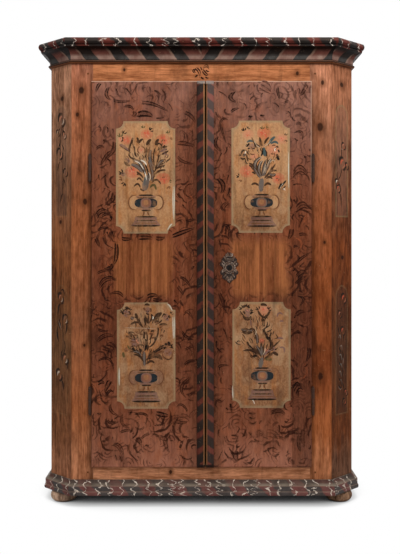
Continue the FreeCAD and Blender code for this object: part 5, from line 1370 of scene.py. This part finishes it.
twigs = {
    "lower_left": (
        (-215, 612, -187, 626, -172, 665, 7), (-172, 665, -168, 681, -172, 692, 6),
        (-211, 623, -210, 651, -214, 678, 7), (-227, 562, -244, 581, -268, 584, 8),
        (-230, 567, -246, 595, -252, 609, 7), (-246, 587, -262, 598, -278, 595, 6),
        (-209, 562, -187, 578, -155, 565, 10), (-209, 573, -187, 595, -155, 601, 8),
        (-182, 587, -160, 606, -133, 615, 7), (-144, 615, -130, 628, -128, 634, 6),
        (-136, 617, -122, 623, -114, 620, 6), (-128, 612, -114, 612, -109, 606, 5),
        (-149, 584, -133, 567, -112, 573, 6), (-227, 692, -241, 715, -254, 728, 7),
        (-214, 695, -219, 717, -217, 745, 8), (-203, 698, -206, 723, -202, 742, 7),
        (-192, 701, -182, 728, -163, 751, 9), (-182, 698, -160, 712, -152, 723, 7),
        (-165, 695, -149, 704, -133, 701, 6), (-227, 701, -252, 709, -273, 704, 6),
        (-235, 706, -246, 723, -268, 734, 6), (-305, 745, -297, 759, -278, 764, 6),
        (-295, 745, -286, 762, -273, 759, 6), (-300, 737, -284, 740, -268, 742, 5),
        (-222, 773, -214, 781, -198, 776, 6), (-217, 759, -209, 751, -200, 759, 5),
        (-155, 723, -147, 740, -133, 737, 6), (-144, 717, -130, 728, -128, 740, 6),
        (-286, 662, -273, 673, -252, 662, 5), (-284, 656, -268, 645, -246, 648, 5),
        (-273, 667, -262, 656, -257, 645, 5), (-241, 662, -230, 678, -222, 681, 6),
        (-230, 640, -222, 662, -227, 676, 6), (-206, 640, -195, 656, -198, 673, 6),
        (-217, 615, -235, 623, -252, 617, 5), (-278, 612, -262, 620, -246, 612, 5)),
    "lower_right": (
        (221, 582, 195, 599, 162, 608, 8), (215, 591, 193, 613, 176, 633, 7),
        (212, 571, 195, 580, 190, 582, 7), (207, 599, 178, 602, 156, 598, 6),
        (235, 588, 232, 622, 229, 644, 7), (243, 582, 240, 610, 247, 633, 7),
        (249, 582, 268, 616, 260, 650, 10), (260, 644, 249, 666, 232, 686, 9),
        (260, 599, 285, 622, 308, 644, 7), (257, 591, 280, 591, 294, 585, 6),
        (263, 610, 285, 605, 297, 616, 6), (232, 694, 238, 716, 235, 739, 7),
        (240, 677, 254, 700, 252, 716, 6), (246, 672, 263, 677, 274, 686, 6),
        (240, 686, 252, 691, 268, 702, 6), (209, 638, 207, 666, 195, 680, 8),
        (201, 672, 178, 672, 156, 680, 7), (184, 669, 167, 675, 153, 669, 6),
        (193, 677, 173, 686, 159, 689, 6), (153, 761, 164, 775, 181, 772, 6),
        (150, 756, 156, 744, 173, 728, 6), (167, 733, 184, 728, 193, 739, 6),
        (218, 767, 224, 744, 238, 733, 6), (260, 769, 260, 747, 245, 733, 6),
        (226, 778, 238, 783, 254, 778, 6), (280, 644, 297, 650, 314, 644, 5),
        (285, 666, 294, 655, 297, 644, 5), (134, 627, 142, 638, 153, 633, 5),
        (128, 638, 139, 627, 156, 622, 5))}
fullness = {"upper_left": 1.15, "upper_right": 1.1, "lower_left": 1.25, "lower_right": 1.25}
border_lights = {
    "left": (
        (-107, 1245, -108, 1180, -108, 1096, 7, 2), (-112, 1090, -120, 1086, -134, 1064, 7, 1),
        (-108, 740, -107, 690, -108, 640, 8, 2), (-134, 782, -122, 772, -112, 750, 7, 1),
        (-318, 540, -319, 500, -318, 460, 7, 1)),
    "right": ((120, 470, 121, 440, 122, 412, 6, 1), (337, 1380, 337, 1300, 337, 1220, 5, 1))}
for side in ("left", "right"):
    flowers = Brushwork(door_face)
    for spray in ("upper_" + side, "lower_" + side):
        urn(flowers, *urns[spray])
        for flower in blossoms[spray]:
            blossom(flowers, *flower)
        tendrils(flowers, *spray_reach[spray])
        for *places, width, paint in flower_stems[spray]:
            stem(flowers, places, width, paint, fullness[spray])
        for *places, width in twigs.get(spray, ()):
            dab(flowers, places, width * 2.4, umber, 0.2, field_lift - 0.08)
            dab(flowers, places, width * 1.1, hand.choice((bark, ink)), 0.75, field_lift + 0.04)
        for leaves in sprigs[spray]:
            sprig(flowers, *leaves)
    for stroke in border_lights[side]:
        flick(flowers, stroke, border_light, 0.62, leaf_widths, field_lift + 0.05)
    flowers.lay(side + "_door_flowers", side + "_door", "door_paint", on_field)

# The cants' garlands: a tall arched panel of dark grey film, twice on each cant, lined in olive, with small
# leaves and a few pink buds. A small sprig marks the middle of the frieze.
film_grey, garland_line = tone(150, 142, 130), tone(142, 126, 92)
cant_half, arch_rise = 41.0, 44.0
cant_middle_x, cant_middle_in = (side_x + cant_x) / 2, (side_x - cant_x) / 2
cant_panels = ((1119, 1562), (342, 852))
films = {"left": ((tone(84, 70, 62), 0.28, 0.18), (tone(50, 38, 26), 0.2, 0.18)),
         "right": ((tone(124, 98, 88), 0.22, 0.3), (tone(46, 38, 34), 0.28, 0.2))}
garland_buds = {
    "left": (
        ((2, 1498, 15, rose, chalk), (-22, 1450, 8, bone, umber), (20, 1438, 9, rose, chalk),
         (-10, 1366, 13, mauve, rose), (28, 1291, 9, mauve, rose)),
        ((-3, 797, 12, rose, chalk), (27, 715, 11, mauve, chalk), (27, 560, 12, rose, chalk),
         (-14, 494, 13, chalk, rose))),
    "right": (
        ((6, 1328, 14, coral, rose), (12, 1398, 8, rose, coral), (-31, 1253, 8, chalk, coral),
         (-22, 1229, 9, coral, rose), (34, 1320, 8, coral, umber)),
        ((14, 795, 12, coral, rose), (-12, 735, 9, rose, umber), (8, 668, 10, coral, umber),
         (28, 424, 8, coral, rose), (18, 388, 8, umber, coral)))}
garland_leaves = {
    "left": (
        ((2, 1480, -8, 1400, 4, 1325, 11), (4, 1335, 12, 1262, 6, 1180, 10),
         (-4, 1474, -16, 1460, -22, 1436, 10), (6, 1462, 20, 1452, 26, 1428, 10),
         (-8, 1340, -20, 1322, -22, 1296, 10), (8, 1272, 20, 1262, 26, 1240, 9),
         (0, 1405, 14, 1392, 20, 1370, 9), (10, 1215, 0, 1196, -4, 1168, 9),
         (-2, 1420, -14, 1404, -18, 1384, 8)),
        ((-4, 778, -17, 764, -20, 732, 17), (-18, 722, -8, 702, 2, 678, 10),
         (-26, 716, -17, 694, -8, 672, 9), (30, 716, 37, 690, 26, 656, 15),
         (-22, 692, -26, 655, -13, 622, 18), (-6, 826, 14, 832, 22, 802, 11),
         (18, 738, 38, 734, 44, 714, 9), (16, 642, 25, 610, 13, 578, 11), (0, 760, 12, 640, 4, 520, 7),
         (2, 478, 12, 460, 10, 430, 15), (8, 600, 0, 575, 4, 548, 12), (34, 556, 40, 536, 34, 518, 9))),
    "right": (
        ((4, 1420, -2, 1376, 6, 1340, 7), (4, 1316, -8, 1284, -26, 1262, 8),
         (-20, 1222, -6, 1196, -8, 1160, 7), (-26, 1300, -30, 1280, -24, 1262, 8),
         (-20, 1250, -10, 1240, -4, 1218, 7)),
        ((6, 774, -6, 736, 4, 700, 8), (-14, 700, -20, 672, -8, 650, 12), (4, 660, 12, 640, 4, 618, 11),
         (-18, 618, -12, 596, 0, 590, 13), (2, 596, 10, 572, 0, 552, 11), (-20, 560, -12, 540, 2, 540, 13),
         (-4, 532, 8, 512, 2, 492, 12), (-22, 500, -14, 480, 0, 484, 13), (-22, 470, -12, 448, 4, 452, 16),
         (0, 470, 10, 456, 12, 434, 11)))}
garland_lights = {
    "left": ((), ((-12, 704, -6, 690, 2, 672, 3), (-20, 712, -13, 696, -6, 682, 3))),
    "right": (
        ((-6, 1392, 2, 1386, 8, 1390, 4),),
        ((-22, 640, -12, 656, -5, 632, 5), (-14, 604, -2, 614, 3, 590, 4), (-18, 572, -6, 578, 0, 550, 5),
         (-16, 530, -4, 542, 4, 514, 4), (-20, 506, -8, 512, -2, 484, 5), (-16, 466, -4, 480, 4, 450, 4),
         (-24, 458, -10, 442, 2, 450, 4), (6, 566, 10, 552, 6, 536, 4)))}


def arched(low, high, inset, steps=14):
    """A flat-footed outline with a round head."""
    half, top = cant_half - inset, high - inset
    turns = [math.pi * i / steps for i in range(steps + 1)]
    head = [(half * math.cos(a), top - arch_rise + (arch_rise - inset * 0.3) * math.sin(a)) for a in turns]
    return [(-half, low + inset), (half, low + inset)] + head


def bud(layer, x, z, size, light, shaded):
    """A half-open flower: two bowed petals, one lighter, between two dark bows."""
    bows = (((-1.4, -0.6, -1.1, 1.6, 0.8, 1.6), 1.6, ink, 0.6, 0),
            ((1.3, 1.0, 1.3, -1.0, -0.4, -1.6), 1.5, ink, 0.55, 0),
            ((-0.8, -0.4, -0.5, 0.9, 0.5, 0.9), 0.8, light, 0.5, 0.1),
            ((0.8, 0.6, 0.7, -0.6, -0.2, -0.9), 0.75, shaded, 0.36, 0.1))
    for shares, width, paint, cover, lift in bows:
        places = [middle + size * share for middle, share in zip((x, z) * 3, shares)]
        dab(layer, places, size * width, paint, cover, field_lift + lift)


def own_wood(along, seed, stain_and_light, late):
    """A board's own stained wood, as a ground for paint."""
    return lambda place: stained_wood(place, along, seed, stain_and_light, late)


for side, way in (("left", -1), ("right", 1)):
    garland = Brushwork((way * cant_middle_x, face_y + cant_middle_in, 0), (half_root, way * half_root, 0),
                        (way * half_root, -half_root, 0))
    for panel, (low, high) in enumerate(cant_panels):
        film, film_cover, line_cover = films[side][panel]
        garland.coat(arched(low, high, 2), film, 0, 0.06, film_cover)
        garland.edging(arched(low, high, 0), arched(low, high, 6), garland_line, 0, 0.12, line_cover)
        for *places, width in garland_leaves[side][panel]:
            dab(garland, places, width * 2.2, bark, 0.24, field_lift - 0.06)
            dab(garland, places, width * 1.25, ink, 0.7, field_lift)
        for *places, width in garland_lights[side][panel]:
            dab(garland, places, width, film_grey, 0.5, field_lift + 0.1)
        for flower in garland_buds[side][panel]:
            bud(garland, *flower)
    cant_ground = own_wood("Z", cant_seeds[side], cant_stains_and_light[side], cant_late)
    on_cant = brushed_over(side + "_garland_paint", cant_ground)
    garland.lay(side + "_cant_garland", "carcass", "frame_wood", on_cant)
frieze_strokes = (
    (-24, 1696, -10, 1684, -4, 1660, 7, 2), (30, 1694, 18, 1706, 4, 1690, 7, 2),
    (4, 1690, 16, 1674, 28, 1668, 7, 2), (-24, 1696, -30, 1684, -20, 1676, 6, 2),
    (-2, 1664, 4, 1656, 12, 1654, 6, 1), (-14, 1672, -22, 1664, -28, 1662, 6, 1),
    (16, 1690, 24, 1684, 32, 1684, 5, 1), (-6, 1700, 0, 1694, 2, 1684, 5, 1),
    (14, 1664, 22, 1658, 30, 1660, 5, 1))
frieze = Brushwork((0, face_y, 0))
for *places, width, hairs in frieze_strokes:
    flick(frieze, (*places, width * 1.5, hairs), curl_dark, 0.85)
on_rail = brushed_over("frieze_paint", own_wood("X", rail_seeds["top"], rail_stains_and_light["top"], frame_late))
frieze.lay("frieze_sprig", "carcass", "frame_wood", on_rail)


# The escutcheon's relief: leaf lobes, two bars and two rings about the keyhole, pressed in the thin
# plate. Its metal is lighter than the plate's: rubbed bright on the high spots and lighter still as
# painted highlight, with painted glints.
class Relief:
    """Raised forms on the plate. Sizes are millimetres, and places are measured from the keyhole."""

    def __init__(self):
        self.points, self.faces = [], []

    def put(self, x, z, rise):
        """One point, so far proud of the plate."""
        self.points.append((key_x + x * MM, plate_y - rise * MM, key_z + z * MM))

    def wall(self, first, second, around):
        """Faces between two rings of points."""
        for i in range(around):
            j = (i + 1) % around
            self.faces.append((first + i, first + j, second + j, second + i))

    def dome(self, x, z, half_width, half_height, turn, rise, rings=4, around=12, sunk=0.3):
        """A low leaf-shaped dome, closed behind."""
        first = len(self.points)
        for ring in range(rings):
            share = 1 - ring / rings
            for i in range(around):
                a = 2 * math.pi * i / around
                u, v = half_width * share * math.cos(a), half_height * share * math.sin(a)
                across = x + u * math.cos(turn) - v * math.sin(turn)
                up = z + u * math.sin(turn) + v * math.cos(turn)
                self.put(across, up, rise * math.sqrt(1 - share ** 2) - sunk)
        self.put(x, z, rise - sunk)
        for ring in range(rings - 1):
            self.wall(first + ring * around, first + (ring + 1) * around, around)
        last = first + (rings - 1) * around
        self.faces.extend((last + i, last + (i + 1) % around, len(self.points) - 1) for i in range(around))
        self.faces.append(tuple(first + i for i in reversed(range(around))))

    def bead(self, radius, thick, rise, around=28, section=8):
        """A round bead about the keyhole."""
        first = len(self.points)
        for i in range(around):
            a = 2 * math.pi * i / around
            for j in range(section):
                b = 2 * math.pi * j / section
                reach = radius + thick * math.cos(b)
                self.put(reach * math.cos(a), reach * math.sin(a), rise * math.sin(b))
        for i in range(around):
            self.wall(first + i * section, first + (i + 1) % around * section, section)


relief = Relief()
relief.bead(15, 3.2, 2.4)
relief.bead(22, 2.0, 1.6)
for way in (-1, 1):
    for lobe in range(4):
        relief.dome(way * (6 + 5.5 * lobe), 50 - 3.2 * lobe ** 2, 3.4, 9, -way * (0.15 + 0.22 * lobe), 1.8)
        relief.dome(way * (5 + 5.5 * lobe), 3.4 * lobe ** 2 - 44, 3.2, 10, way * (0.12 + 0.24 * lobe), 1.7)
    for end in (-1, 1):
        relief.dome(way * 26, end * 12, 4, 9, -way * end * 0.5, 2)
relief.dome(0, -50, 4, 8, 0, 2)
for bar_height in (29, 34):
    relief.dome(0, bar_height, 19, 1.8, 0, 1.8)
highlit_relief_metal = old_iron("escutcheon_high_spots", tone(38, 27, 21), tone(132, 104, 86), 0.0, 0.75)
relief_mesh = fix_piece("escutcheon_relief", relief.points, relief.faces, highlit_relief_metal, "right_door")
relief_mesh.shade_smooth()

bpy.context.view_layer.update()
